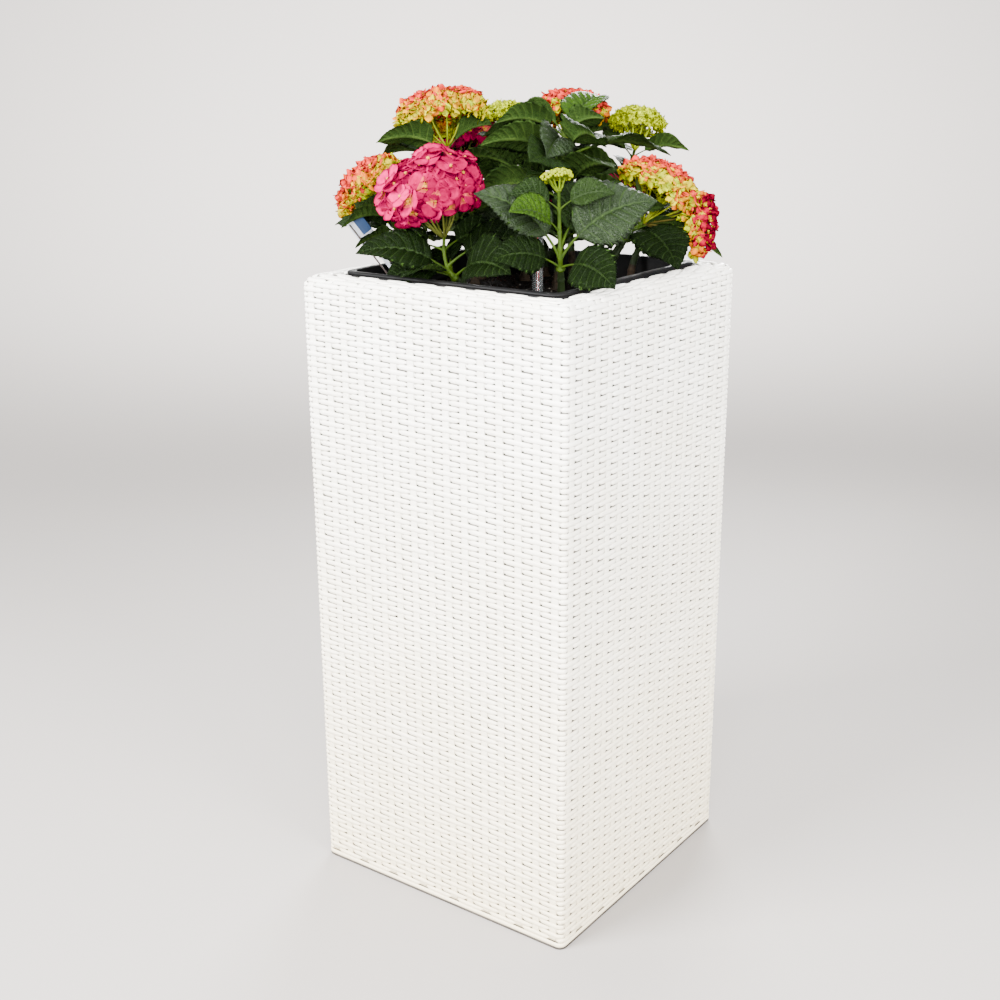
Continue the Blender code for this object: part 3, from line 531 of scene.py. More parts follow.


# ---- Compost -------------------------------------------------------------------------------------
# Dark peat with bark crumbs and a few grains of white perlite, pressed down in the liner.  Its top
# is a heap of small waves; the crumbs are lumps that lie half sunk in it.  The peat's browns are
# darkened close to black, partly as painted shade for the shade under the leaves.
# Peat browns, darkened further as painted shade.
PEAT_BROWN_AND_SHADE = (0.0022, 0.0014, 0.0010)
PEAT_PALER_AND_SHADE = (0.0052, 0.0034, 0.0023)
BARK_BROWN = (0.0100, 0.0050, 0.0028)
PERLITE_WHITE = (0.080, 0.074, 0.064)
PERLITE_SHADE = (0.060, 0.054, 0.046)
PEAT_WAVE = 0.0012
PEAT_WAVES = 14
PEAT_SEED = 3
LONGEST_WAVE = 40.0
WAVE_STEP = 1.32
WAVE_FALL = 0.45
WAVE_GAIN = 2.2
PEAT_EDGE = 0.004
PEAT_RINGS = 70
PEAT_RING_POWER = 0.8
INNERMOST_RING = 0.004
CRUMBS = 900
PERLITE_GRAINS = 60
PERLITE_SHARE = 0.6
CRUMB_SIZE = (0.0009, 0.0034)
CRUMB_RISE = 0.1
CRUMB_SEED = 8
LUMP_CORNERS = 6
LUMP_LEVELS = (-0.85, -0.3, 0.35, 0.9)
LUMP_DENT = 0.15
UP = np.array([0.0, 0.0, 1.0])

peat_low, peat_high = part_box("compost")
peat_half = peat_high[0]
peat_top = peat_high[2]


def heap(x, y):
    """The peat's height above its level: a sum of waves that run in seeded directions, each shorter
    and lower than the one before."""
    dice = np.random.default_rng(PEAT_SEED)
    bearing = dice.uniform(0, 2 * np.pi, PEAT_WAVES)
    pace = LONGEST_WAVE * WAVE_STEP ** np.arange(PEAT_WAVES)
    start = dice.uniform(0, 2 * np.pi, PEAT_WAVES)
    size = pace ** -WAVE_FALL
    along = x[..., None] * np.cos(bearing) + y[..., None] * np.sin(bearing)
    return PEAT_WAVE * (np.sin(along * pace + start) * size).sum(axis=-1) / size.sum() * WAVE_GAIN


peat_profile = [(peat_half, peat_low[2], lip_corner), (peat_half, peat_top - PEAT_EDGE, lip_corner)]
for shrink in np.linspace(1.0, INNERMOST_RING, PEAT_RINGS) ** PEAT_RING_POWER:
    peat_profile.append((peat_half * shrink, peat_top, lip_corner * shrink))
peat_rings = square_box(peat_profile)
peat_surface = peat_rings[0, 2:]
peat_surface[..., 2] += np.minimum(heap(peat_surface[..., 0], peat_surface[..., 1]), PEAT_WAVE)
peat_finish = finish("peat", PEAT_BROWN_AND_SHADE, PEAT_PALER_AND_SHADE, patch=240.0, grain=1500.0, depth=0.0012,
                     smooth=0.85, rough=1.0, shine=0.06)
peat = piece("compost_bed", *tube_skin(peat_rings), [peat_finish], "compost")
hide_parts("compost")


def lumps(centres, sizes, dice, stretch=0.5):
    """Small lumps: a stack of four six-cornered rings of a ball round each centre, dented, turned
    and stretched by chance."""
    level = np.array(LUMP_LEVELS)[:, None]
    ring = ring_points(np.sqrt(1 - level ** 2), turn_angles(LUMP_CORNERS), level)
    shape = ring * dice.uniform(1 - stretch, 1.0, (len(centres), 1, 1, 3))
    spin = np.linalg.qr(dice.normal(size=(len(centres), 3, 3)))[0]
    spin *= np.linalg.det(spin)[:, None, None]
    shape = shape * (1 + dice.uniform(-LUMP_DENT, LUMP_DENT, shape.shape))
    shape = np.einsum("nrcx,nyx->nrcy", shape, spin)
    return centres[:, None, None] + shape * sizes[:, None, None, None]


bark_finish = finish("bark_crumb", BARK_BROWN, PEAT_BROWN_AND_SHADE, patch=300.0, grain=1800.0, depth=0.0008,
                     smooth=0.8, rough=1.0, shine=0.06)
perlite_finish = finish("perlite", PERLITE_WHITE, PERLITE_SHADE, patch=200.0, smooth=0.8, rough=1.0,
                        shine=0.1)
crumb_dice = np.random.default_rng(CRUMB_SEED)
crumb_spots = crumb_dice.uniform(-1, 1, (CRUMBS + PERLITE_GRAINS, 2)) * (peat_half - PEAT_EDGE)
crumb_sizes = crumb_dice.uniform(*CRUMB_SIZE, len(crumb_spots))
crumb_sizes[CRUMBS:] *= PERLITE_SHARE
crumb_levels = peat_top + heap(crumb_spots[:, 0], crumb_spots[:, 1]) + CRUMB_RISE * crumb_sizes
crumb_verts, crumb_faces = tube_skin(lumps(np.column_stack([crumb_spots, crumb_levels]), crumb_sizes,
                                           crumb_dice))
sides_of_lump = LUMP_CORNERS * (len(LUMP_LEVELS) - 1)
crumb_of_face = np.concatenate([np.arange(len(crumb_sizes)).repeat(faces)
                                for faces in (sides_of_lump, LUMP_CORNERS, LUMP_CORNERS)])
piece("compost_crumbs", crumb_verts, crumb_faces, [peat_finish, bark_finish, perlite_finish],
      "compost", np.where(crumb_of_face >= CRUMBS, 2, crumb_of_face % 3 == 0))


# ---- Water gauge ---------------------------------------------------------------------------------
# A clear plastic tube with a cap, stood on a clear round foot on the compost.  A red float rod
# rises in it and shows how much water is below.
GAUGE_BORE = 0.0052
GAUGE_CORNERS = 40
FLOAT_CORNERS = 20
FLOAT_RADIUS = 0.0022
FLOAT_HEAD = 0.0040
FLOAT_WAIST = FLOAT_RADIUS * 0.8
FLOAT_RED = (0.30, 0.008, 0.008)
FLOAT_SHADE = (0.18, 0.005, 0.005)
CLEAR_TINT = (0.72, 0.76, 0.76)
CLEAR_INDEX = 1.30
CLEAR_PASSING = 0.96

gauge_low, gauge_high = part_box("water_gauge")
gauge_foot = gauge_low[2]
gauge_top = gauge_high[2]
gauge_foot_radius = (gauge_high[0] - gauge_low[0]) / 2
gauge_radius = gauge_foot_radius / 2
gauge_axis = np.array(gauge_low + gauge_high) / 2 * (1, 1, 0)


def turned(profile, axis, corners):
    """A turned shape: the rings that a profile of (radius, level) makes round an upright axis."""
    radius, level = (np.array(column)[:, None] for column in zip(*profile))
    return (axis + ring_points(radius, turn_angles(corners), level))[None]


gauge_profile = [
    (gauge_foot_radius - 0.001, gauge_foot),
    (gauge_foot_radius, gauge_foot + 0.0010),
    (gauge_foot_radius, gauge_foot + 0.0050),
    (gauge_foot_radius - 0.0015, gauge_foot + 0.0070),
    (gauge_radius + 0.0015, gauge_foot + 0.0085),
    (gauge_radius, gauge_foot + 0.0120),
    (gauge_radius, gauge_top - 0.0100),
    (gauge_radius, gauge_top - 0.0020),
    (gauge_radius - 0.0006, gauge_top - 0.0006),
    (gauge_radius - 0.0020, gauge_top),
    (0.0012, gauge_top),
    (0.0010, gauge_top - 0.0018),
    (GAUGE_BORE - 0.0008, gauge_top - 0.0020),
    (GAUGE_BORE, gauge_top - 0.0032),
    (GAUGE_BORE, gauge_foot + 0.0100),
    (GAUGE_BORE - 0.0006, gauge_foot + 0.0090),
]
clear_finish = finish("clear_plastic", CLEAR_TINT, CLEAR_TINT, patch=5.0, grain=30.0, depth=0.00005,
                      smooth=0.03, rough=0.10)
set_sockets(clear_finish.node_tree.nodes["Principled BSDF"],
            {"IOR": CLEAR_INDEX, "Transmission Weight": CLEAR_PASSING})
gauge_tube = piece("gauge_tube", *tube_skin(turned(gauge_profile, gauge_axis, GAUGE_CORNERS)),
                   [clear_finish], "gauge")
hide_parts("water_gauge")

float_profile = [
    (FLOAT_WAIST, gauge_foot + 0.0100),
    (FLOAT_RADIUS, gauge_foot + 0.0106),
    (FLOAT_RADIUS, gauge_top - 0.0360),
    (FLOAT_HEAD, gauge_top - 0.0340),
    (FLOAT_HEAD, gauge_top - 0.0250),
    (FLOAT_HEAD * 0.8, gauge_top - 0.0236),
    (FLOAT_WAIST, gauge_top - 0.0230),
    (FLOAT_WAIST, gauge_top - 0.0130),
]
float_finish = finish("float_red", FLOAT_RED, FLOAT_SHADE, patch=90.0, smooth=0.30, rough=0.45)
piece("gauge_float", *tube_skin(turned(float_profile, gauge_axis, FLOAT_CORNERS)), [float_finish], "gauge")


# ---- Plant label ---------------------------------------------------------------------------------
# A tag of white card plastic: a slim spike stuck in the compost that widens to a blank card with
# round corners and a blue band at its top corner.  A thin dark stick is clipped along one edge.
LABEL_THICKNESS = 0.0012
LABEL_WIDTH = 0.022
LABEL_FOOT = (-0.110, -0.088)
LABEL_TOP = (-0.172, -0.124, 0.866)
LABEL_CORNER = 0.0044
LABEL_CORNER_REACH = 1.3
LABEL_ROUND_ROWS = 9
LABEL_CARD_ROWS = 12
LABEL_SPIKE_WIDTH = 0.005
LABEL_SPIKE_SHARE = 0.50
LABEL_SPIKE_POINT = 0.55
LABEL_SHOULDER = 0.004
LABEL_COLUMNS = 13
LABEL_TURN = -82.0
LABEL_CURL = 0.0010
LABEL_WHITE = (0.34, 0.35, 0.38)
LABEL_SHADE = (0.28, 0.29, 0.32)
LABEL_BLUE = (0.010, 0.030, 0.085)
LABEL_BLUE_SHADE = (0.007, 0.022, 0.062)
BLUE_START = 0.72
BLUE_EDGE = -0.2
STICK_BROWN = (0.010, 0.005, 0.004)
STICK_SHADE = (0.03, 0.018, 0.014)
STICK_RADIUS = 0.0011
STICK_ROWS = 12
STICK_CORNERS = 8
STICK_SPAN = (0.12, 0.93)
STICK_ASIDE = 0.36


def unit(directions):
    """The same directions with a length of 1."""
    return directions / np.linalg.norm(directions, axis=-1, keepdims=True)


label_foot = np.array([*LABEL_FOOT, peat_top])
label_rise = np.array(LABEL_TOP) - label_foot
label_up = unit(label_rise)
level_side = unit(np.cross(label_up * (1, 1, 0), UP))
label_side = np.array(Matrix.Rotation(radians(LABEL_TURN), 3, label_up) @ Vector(level_side))
label_face = np.cross(label_side, label_up)
foot_drop = abs(label_side[2]) * LABEL_SPIKE_WIDTH / 2 + LABEL_THICKNESS / 2 + FIT
label_length = np.linalg.norm(label_rise) - foot_drop
spike_length = label_length * LABEL_SPIKE_SHARE
card_start = spike_length + LABEL_SHOULDER
round_turn = np.linspace(0, np.pi / 2, LABEL_ROUND_ROWS)
round_rise = LABEL_CORNER * (1 - np.cos(round_turn))
round_inset = LABEL_CORNER * (1 - np.sin(round_turn))
corner_reach = LABEL_CORNER_REACH * LABEL_CORNER
label_level = np.concatenate([
    np.linspace(0, spike_length, LABEL_ROUND_ROWS),
    card_start + round_rise,
    np.linspace(card_start + corner_reach, label_length - corner_reach, LABEL_CARD_ROWS),
    label_length - round_inset])
label_half = np.concatenate([
    LABEL_SPIKE_WIDTH / 2 * np.linspace(LABEL_SPIKE_POINT, 1.0, LABEL_ROUND_ROWS),
    LABEL_WIDTH / 2 - round_inset,
    np.full(LABEL_CARD_ROWS, LABEL_WIDTH / 2),
    LABEL_WIDTH / 2 - round_rise])
label_row = np.linspace(1, -1, LABEL_COLUMNS)
label_across = np.concatenate([label_row, -label_row])
label_deep = np.repeat([-0.5, 0.5], LABEL_COLUMNS) * LABEL_THICKNESS * 0.6
label_bow = LABEL_CURL * (label_across ** 2 - 0.5) * (label_half[:, None] / (LABEL_WIDTH / 2))
label_middle = LABEL_TOP + label_up * (label_level - label_length)[:, None]
label_rings = cross_sections(label_middle, label_side, label_half[:, None] * label_across,
                             label_face, label_deep + label_bow)[None]
label_white = finish("label_white", LABEL_WHITE, LABEL_SHADE, patch=60.0, grain=900.0,
                     depth=0.00005, smooth=0.40, rough=0.55, shine=0.2)
label_blue = finish("label_blue", LABEL_BLUE, LABEL_BLUE_SHADE, patch=60.0, grain=900.0,
                    depth=0.00005, smooth=0.40, rough=0.55, shine=0.1)
towards_right = np.sign(label_side[0])
blue_part = label_level[:-1, None] / label_length > BLUE_START
blue_part = blue_part & (label_across * towards_right > BLUE_EDGE)
label_parts = np.concatenate([blue_part.ravel(), np.zeros(2 * len(label_across), dtype=bool)])
label = piece("label_tag", *tube_skin(label_rings), [label_white, label_blue], "label", label_parts)
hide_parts("plant_label")


def limb_rings(path, radii, corners):
    """Rings of a limb: a circle of each radius, square to the path, carried along it with one side
    kept towards the axis that the limb leans away from most."""
    ahead = unit(np.gradient(path, axis=-2))
    run = np.abs(path[..., -1:, :] - path[..., :1, :])
    guide = np.eye(3)[run.argmin(axis=-1)]
    across = unit(np.cross(ahead, np.broadcast_to(guide, ahead.shape)))
    third = np.cross(ahead, across)
    angle = turn_angles(corners)[:, None]
    ring = across[..., None, :] * np.cos(angle) + third[..., None, :] * np.sin(angle)
    return path[..., None, :] + ring * radii[..., None, None]


stick_start = (LABEL_TOP - label_up * label_length + label_face * (LABEL_THICKNESS + STICK_RADIUS)
               - label_side * towards_right * LABEL_WIDTH * STICK_ASIDE)
stick_path = stick_start + label_up * label_length * np.linspace(*STICK_SPAN, STICK_ROWS)[:, None]
stick_rings = limb_rings(stick_path, np.full(STICK_ROWS, STICK_RADIUS), STICK_CORNERS)
stick_finish = finish("dark_stick", STICK_BROWN, STICK_SHADE, patch=120.0, smooth=0.5, rough=0.7)
piece("label_stick", *tube_skin(stick_rings[None]), [stick_finish], "label")


# ---- Canes and boughs ----------------------------------------------------------------------------
# The clump's woody shoots.  Each cane leaves the compost upright and bends to its place, swollen at
# the foot and at its leaf joints; three of them fork into two boughs.  Brown below, green above.
Leaf = namedtuple("Leaf", "height bearing rise length roll", defaults=(0,))
Shoot = namedtuple("Shoot", "carrier base tip heads leaves")

# One shoot: the limb that carries it, where its leafy stem starts and ends, its flower heads as
# (kind, middle, radius) and its leaves: how far up the stem, compass bearing from +X, rise, length
# and roll, with angles in degrees.
SHOOTS = {
    "centre": Shoot(
        "cane_centre", (0.114, -0.087, 0.818), (0.098, -0.068, 0.904),
        [("bud", (0.094, -0.066, 0.918), 0.020)],
        [(0.15, -124, 6, 0.092, -20), (0.15, -17, -6, 0.104, 35), (0.32, -154, 40, 0.128),
         (0.32, 40, 30, 0.130, 10), (0.63, -112, 22, 0.078), (0.44, 97, 29, 0.120),
         (0.84, -139, 18, 0.062), (0.84, 58, 16, 0.078), (0.06, 150, 22, 0.105)]),
    "front_left": Shoot(
        "cane_front_left", (-0.018, -0.112, 0.800), (-0.036, -0.111, 0.848),
        [("ripe", (-0.048, -0.116, 0.898), 0.069)],
        [(0.08, -106, 4, 0.086), (0.25, -140, 14, 0.124, -14), (0.12, -14, 10, 0.118, 20),
         (0.30, 130, 10, 0.110), (0.80, 64, 8, 0.080, 30), (0.80, -170, 6, 0.100),
         (0.50, 22, 8, 0.120)]),
    "left": Shoot(
        "cane_left", (-0.128, -0.080, 0.836), (-0.152, -0.070, 0.870),
        [("turning", (-0.175, -0.084, 0.898), 0.051)],
        [(0.66, -100, 4, 0.090, -20), (0.90, 70, 10, 0.080), (0.40, 150, 4, 0.090),
         (0.40, -10, 12, 0.100), (0.10, 178, -2, 0.105), (0.05, 50, 10, 0.100)]),
    "upper_left": Shoot(
        "cane_upper_left", (-0.084, -0.010, 0.832), (-0.103, -0.018, 0.946),
        [("turning", (-0.116, -0.012, 0.980), 0.061)],
        [(0.94, -122, -2, 0.096), (0.96, 63, 24, 0.070), (0.84, 18, 0, 0.090), (0.84, -168, 4, 0.100),
         (0.56, -84, 14, 0.110), (0.56, 100, 12, 0.110), (0.34, 10, 8, 0.115), (0.34, 190, 4, 0.110),
         (0.12, -50, 6, 0.125), (0.12, 120, 4, 0.110), (0.04, -100, 4, 0.110), (0.04, 60, 4, 0.110)]),
    "crown": Shoot(
        "cane_crown", (0.028, 0.044, 0.826), (0.011, 0.072, 0.962), [],
        [(0.96, -127, 10, 0.100), (0.97, 176, 26, 0.076), (0.97, 88, 18, 0.100), (0.96, 0, 21, 0.070),
         (0.94, -73, -10, 0.090), (0.82, 38, 13, 0.148), (0.80, -150, 4, 0.120), (0.66, -66, 10, 0.125),
         (0.66, 118, 10, 0.110), (0.60, -26, 24, 0.110, 20), (0.50, -160, 6, 0.125),
         (0.50, 25, 6, 0.120), (0.34, -95, 4, 0.125), (0.34, 100, 4, 0.115), (0.18, -170, 4, 0.120),
         (0.18, -25, 4, 0.115), (0.05, -55, 6, 0.125), (0.05, 60, 4, 0.110)]),
    "right_back": Shoot(
        "bough_right_inner", (0.053, 0.152, 0.880), (0.055, 0.172, 0.936),
        [("young", (0.052, 0.182, 0.966), 0.037)],
        [(0.90, 22, 7, 0.080), (0.90, 150, 10, 0.086), (0.50, -60, 4, 0.105), (0.50, 110, 0, 0.110),
         (0.12, 178, 4, 0.110), (0.12, 10, 0, 0.110)]),
    "right": Shoot(
        "bough_right_outer", (0.107, 0.064, 0.834), (0.122, 0.082, 0.856),
        [("turning", (0.132, 0.100, 0.902), 0.050), ("turning", (0.164, 0.100, 0.884), 0.034),
         ("dark", (0.188, 0.104, 0.856), 0.040)],
        [(0.60, -24, -20, 0.124, 40), (0.60, 150, 20, 0.110), (0.95, 92, 2, 0.096),
         (0.90, -95, 14, 0.095), (0.15, -70, 4, 0.100), (0.15, 40, -6, 0.110)]),
    "left_back": Shoot(
        "bough_left_inner", (-0.136, 0.058, 0.868), (-0.150, 0.070, 0.916),
        [("ripe", (-0.164, 0.082, 0.949), 0.052)],
        [(0.10, 90, 28, 0.110), (0.10, 272, 30, 0.110), (0.50, 330, 24, 0.105), (0.50, 150, 2, 0.100),
         (0.94, 240, -4, 0.095), (0.94, 60, -4, 0.095)]),
    "centre_back": Shoot(
        "cane_centre_back", (-0.072, 0.084, 0.846), (-0.090, 0.094, 0.944),
        [("young", (-0.093, 0.098, 0.977), 0.031)],
        [(0.10, 150, 14, 0.115), (0.10, 60, 36, 0.105), (0.50, 0, 12, 0.110), (0.50, 90, 14, 0.105),
         (0.60, 272, 14, 0.110), (0.70, 330, 24, 0.100), (0.94, 14, 8, 0.080), (0.94, 285, 6, 0.085)]),
    "top": Shoot(
        "cane_top", (-0.026, 0.140, 0.846), (-0.036, 0.158, 0.945),
        [("turning", (-0.040, 0.167, 0.981), 0.052)],
        [(0.10, 176, 10, 0.115), (0.10, 105, 36, 0.110), (0.50, 5, 30, 0.110), (0.50, 88, 24, 0.115),
         (0.60, 272, 14, 0.110), (0.60, 176, 30, 0.105), (0.94, 322, 6, 0.095), (0.94, 122, -4, 0.095),
         (0.94, 62, -4, 0.090)]),
    "far_back": Shoot(
        "bough_back_right", (-0.006, 0.186, 0.818), (-0.012, 0.210, 0.838),
        [("ripe", (-0.016, 0.236, 0.858), 0.046)],
        [(0.10, 310, 16, 0.115), (0.10, 60, -10, 0.110), (0.50, 190, 8, 0.110), (0.50, 28, -8, 0.110),
         (0.94, 296, 14, 0.095), (0.94, 210, 12, 0.095)]),
    "back_left": Shoot(
        "bough_back_left", (-0.098, 0.160, 0.818), (-0.122, 0.176, 0.838),
        [("ripe", (-0.146, 0.196, 0.860), 0.050)],
        [(0.10, 212, 12, 0.115), (0.10, 62, -10, 0.110), (0.50, 272, 10, 0.110), (0.50, 60, 26, 0.105),
         (0.94, 242, 8, 0.095), (0.94, 340, 18, 0.095)]),
    "far_left": Shoot(
        "bough_left_outer", (-0.172, 0.040, 0.820), (-0.192, 0.046, 0.838),
        [("turning", (-0.216, 0.044, 0.868), 0.044)],
        [(0.10, 120, 12, 0.105), (0.10, 242, 12, 0.105), (0.50, 90, 14, 0.100), (0.50, 272, 14, 0.100),
         (0.94, 60, 22, 0.090), (0.94, 310, 20, 0.090)]),
    "back_right": Shoot(
        "cane_back_right", (0.082, 0.150, 0.824), (0.094, 0.186, 0.834),
        [("turning", (0.102, 0.210, 0.856), 0.042)],
        [(0.10, 152, 18, 0.110), (0.10, 32, -10, 0.110), (0.50, 190, 10, 0.105), (0.50, 2, -4, 0.110),
         (0.94, 272, 2, 0.095), (0.94, 150, -8, 0.090)]),
}
for name, shoot in SHOOTS.items():
    SHOOTS[name] = shoot._replace(leaves=[Leaf(*leaf) for leaf in shoot.leaves])

# One cane: its foot on the compost and the shoots it carries, one, or two where it forks.
CANES = {
    "cane_centre": ((0.104, -0.070), ["centre"]),
    "cane_front_left": ((-0.010, -0.094), ["front_left"]),
    "cane_left": ((-0.100, -0.068), ["left"]),
    "cane_upper_left": ((-0.066, -0.012), ["upper_left"]),
    "cane_crown": ((0.030, 0.030), ["crown"]),
    "cane_right": ((0.088, 0.040), ["right_back", "right"]),
    "cane_left_fork": ((-0.100, 0.046), ["left_back", "far_left"]),
    "cane_centre_back": ((-0.044, 0.066), ["centre_back"]),
    "cane_top": ((0.004, 0.106), ["top"]),
    "cane_back_fork": ((-0.044, 0.114), ["far_back", "back_left"]),
    "cane_back_right": ((0.082, 0.122), ["back_right"]),
}
FORKS = {
    "cane_right": (0.099, 0.054, 0.817),
    "cane_left_fork": (-0.116, 0.046, 0.812),
    "cane_back_fork": (-0.050, 0.130, 0.798),
}
CANE_POINTS = 6
BOUGH_POINTS = 7
FINE_POINTS = 40
FORK_SPREAD = 0.0042
SQUARE_START = 0.003
LEAN_REACH = 0.45
CANE_RADII = (0.0050, 0.0036)
BOUGH_RADII = (0.0036, 0.0030)
FOOT_SWELL = 0.60
FOOT_SWELL_POWER = 10
BOUGH_SWELL = 0.15
FORK_SWELL = 0.85
FORK_SWELL_POWER = 14
JOINT_SPACING = 0.021
JOINT_SWELL = 0.20
JOINT_REACH = 0.0016
BARK_SIDES = 16
BARK_ROWS = 64
BARK_RELIEF = 0.025
STRAIGHT_RIBS = 5
WINDING_RIBS = 3
WINDING_SHARE = 0.6
WINDING_PACE = 240
CANE_GREEN = (0.010, 0.018, 0.004)
CANE_DARK = (0.006, 0.011, 0.003)
CANE_WOOD = (0.026, 0.017, 0.010)
CANE_WOOD_DARK = (0.011, 0.008, 0.005)
WOODY_SHARE = 0.42


def bend(start, end, lean_in, count):
    """A limb's line: a quadratic curve that sets off along lean_in and turns to its end, with one
    more point a little way along lean_in so that its foot is square."""
    start, end, lean_in = (np.array(v, dtype=float) for v in (start, end, lean_in))
    lean_in = unit(lean_in)
    middle = start + lean_in * np.linalg.norm(end - start) * LEAN_REACH
    t = np.linspace(0.0, 1.0, count)[:, None]
    curve = (1 - t) ** 2 * start + 2 * t * (1 - t) * middle + t ** 2 * end
    return np.insert(curve, 1, start + lean_in * SQUARE_START, axis=0)


def even_line(path, count):
    """The same line with its points spread evenly along it, and how far along it each one is."""
    steps = np.linalg.norm(np.diff(path, axis=0), axis=1)
    run = np.concatenate([[0.0], np.cumsum(steps)])
    wanted = np.linspace(0.0, run[-1], count)
    return np.column_stack([np.interp(wanted, run, column) for column in path.T]), wanted


def bark_rings(start, end, lean_in, radii, foot_swell, top_swell, seed):
    """A limb's skin: its radius tapers, swells at foot and top as high powers of the nearness, rises
    in a narrow bell at each leaf joint, and carries long low ribs, some of which wind."""
    line, run = even_line(bend(start, end, lean_in, FINE_POINTS), BARK_ROWS)
    share = np.linspace(0.0, 1.0, BARK_ROWS)
    radius = radii[0] + (radii[1] - radii[0]) * share
    radius *= (1 + foot_swell * (1 - share) ** FOOT_SWELL_POWER
               + top_swell * share ** FORK_SWELL_POWER)
    dice = np.random.default_rng(seed)
    joint = np.abs((run / JOINT_SPACING + dice.uniform()) % 1.0 - 0.5) * JOINT_SPACING
    radius *= 1 + JOINT_SWELL * np.exp(-(joint / JOINT_REACH) ** 2)
    angle = turn_angles(BARK_SIDES)
    straight = np.cos(STRAIGHT_RIBS * angle + dice.uniform(0, 6))
    winding = np.cos(WINDING_RIBS * angle + WINDING_PACE * run[:, None] + dice.uniform(0, 6))
    relief = 1 + BARK_RELIEF * (straight + WINDING_SHARE * winding)
    rings = limb_rings(line, radius, BARK_SIDES)
    return line[:, None] + (rings - line[:, None]) * relief[..., None]


bark = []
bark_is_cane = []
stem_starts = {}
for cane, (cane_foot, carried) in CANES.items():
    ground = np.array((*cane_foot, peat_top + FIT))
    cane_top = FORKS.get(cane, SHOOTS[carried[0]].base)
    cane_line = bend(ground, cane_top, UP, CANE_POINTS)
    heading = unit(cane_line[-1] - cane_line[-2])
    forked = len(carried) == 2
    bark.append(bark_rings(ground, cane_top, UP, CANE_RADII, FOOT_SWELL, FORK_SWELL * forked, len(bark)))
    bark_is_cane.append(True)
    if not forked:
        stem_starts[carried[0]] = (cane_line[-1] + heading * FIT, heading)
        continue
    apart = np.array(SHOOTS[carried[0]].base) - np.array(SHOOTS[carried[1]].base)
    apart = unit(apart - heading * (apart @ heading))
    for name, side in zip(carried, (1, -1)):
        bough_start = cane_line[-1] + heading * FIT + apart * side * FORK_SPREAD
        bough_end = SHOOTS[name].base
        bough_line = bend(bough_start, bough_end, heading, BOUGH_POINTS)
        bark.append(bark_rings(bough_start, bough_end, heading, BOUGH_RADII, BOUGH_SWELL, 0.0, len(bark)))
        bark_is_cane.append(False)
        bough_heading = unit(bough_line[-1] - bough_line[-2])
        stem_starts[name] = (bough_line[-1] + bough_heading * FIT, bough_heading)

cane_green = finish("cane_green", CANE_GREEN, CANE_DARK, patch=90.0, grain=1200.0, depth=0.0005,
                    smooth=0.45, rough=0.65, shine=0.12)
cane_wood = finish("cane_wood", CANE_WOOD, CANE_WOOD_DARK, patch=140.0, grain=1400.0, depth=0.0009,
                   smooth=0.60, rough=0.85, shine=0.08)
bark_woody = np.zeros((len(bark), BARK_ROWS - 1, BARK_SIDES), dtype=bool)
bark_woody[bark_is_cane, :int(WOODY_SHARE * BARK_ROWS)] = True
bark_ends = np.zeros(2 * len(bark) * BARK_SIDES, dtype=bool)
canes = piece("canes", *tube_skin(np.stack(bark)), [cane_green, cane_wood], "cane",
              np.concatenate([bark_woody.ravel(), bark_ends]))
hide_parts(*(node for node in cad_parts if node.startswith(("cane_", "bough_"))))


# ---- Green stems ---------------------------------------------------------------------------------
# Each cane or bough goes on as one soft green stem that carries the leaves in pairs and ends under
# its flower head.  It thickens at every pair of leaves.
STEM_POINTS = 6
STEM_RADII = (0.0024, 0.0019)
STEM_FOOT = 0.06
STEM_ROWS = 60
STEM_SIDES = 12
KNOT_SWELL = 0.30
KNOT_REACH = 0.0030
STEM_GREEN = (0.020, 0.036, 0.002)
STEM_SHADE = (0.012, 0.024, 0.002)


def stem_point(path, height):
    """The place on a stem's middle line at a share of its length."""
    place = height * (len(path) - 1)
    low = min(int(place), len(path) - 2)
    return path[low] + (path[low + 1] - path[low]) * (place - low)


stem_lines = {}
stem_rings = []
for name, shoot in SHOOTS.items():
    stem_start, heading = stem_starts[name]
    stem_lines[name] = bend(stem_start, shoot.tip, heading, STEM_POINTS)
    line, _ = even_line(bend(stem_start, shoot.tip, heading, FINE_POINTS), STEM_ROWS)
    foot_radius = BOUGH_RADII[1] if shoot.carrier.startswith("bough") else CANE_RADII[1]
    stem_share = np.linspace(0.0, 1.0, STEM_ROWS)
    stem_radius = STEM_RADII[0] + (STEM_RADII[1] - STEM_RADII[0]) * stem_share
    stem_radius += (foot_radius - STEM_RADII[0]) * np.exp(-(stem_share / STEM_FOOT) ** 2)
    for height in {leaf.height for leaf in shoot.leaves}:
        gap = np.linalg.norm(line - stem_point(stem_lines[name], height), axis=1)
        stem_radius = stem_radius * (1 + KNOT_SWELL * np.exp(-(gap / KNOT_REACH) ** 2))
    stem_rings.append(limb_rings(line, stem_radius, STEM_SIDES))
stem_finish = finish("stem_green", STEM_GREEN, STEM_SHADE, patch=120.0, grain=1500.0, depth=0.0003,
                     smooth=0.42, rough=0.60, shine=0.05)
stems = piece("stems", *tube_skin(np.stack(stem_rings)), [stem_finish], "foliage")


# ---- Leaves --------------------------------------------------------------------------------------
# Broad toothed leaves on short stalks, two at a joint, each folded along its midrib and arching
# over.  The blade is quilted between its side veins; dark and dull above, paler below.
LEAF_STATIONS = (0.0, 0.24, 0.42, 0.62, 0.82, 1.0)
FACING_STATION = LEAF_STATIONS[2]
STALK_SHARE = 0.24
BLADE_HALF_WIDTH = 0.295
LEAF_DROOP = 60.0
LEAF_OUTWARD_TILT = 38.0
PLACING_SEED = 11
TIP_MATCH = 0.0001
# Leaves differ a little by chance: in turn, lift and roll, in degrees, and in size.
LEAF_SPREAD = (3, 2, 5)
SIZE_SPREAD = (0.96, 1.04)
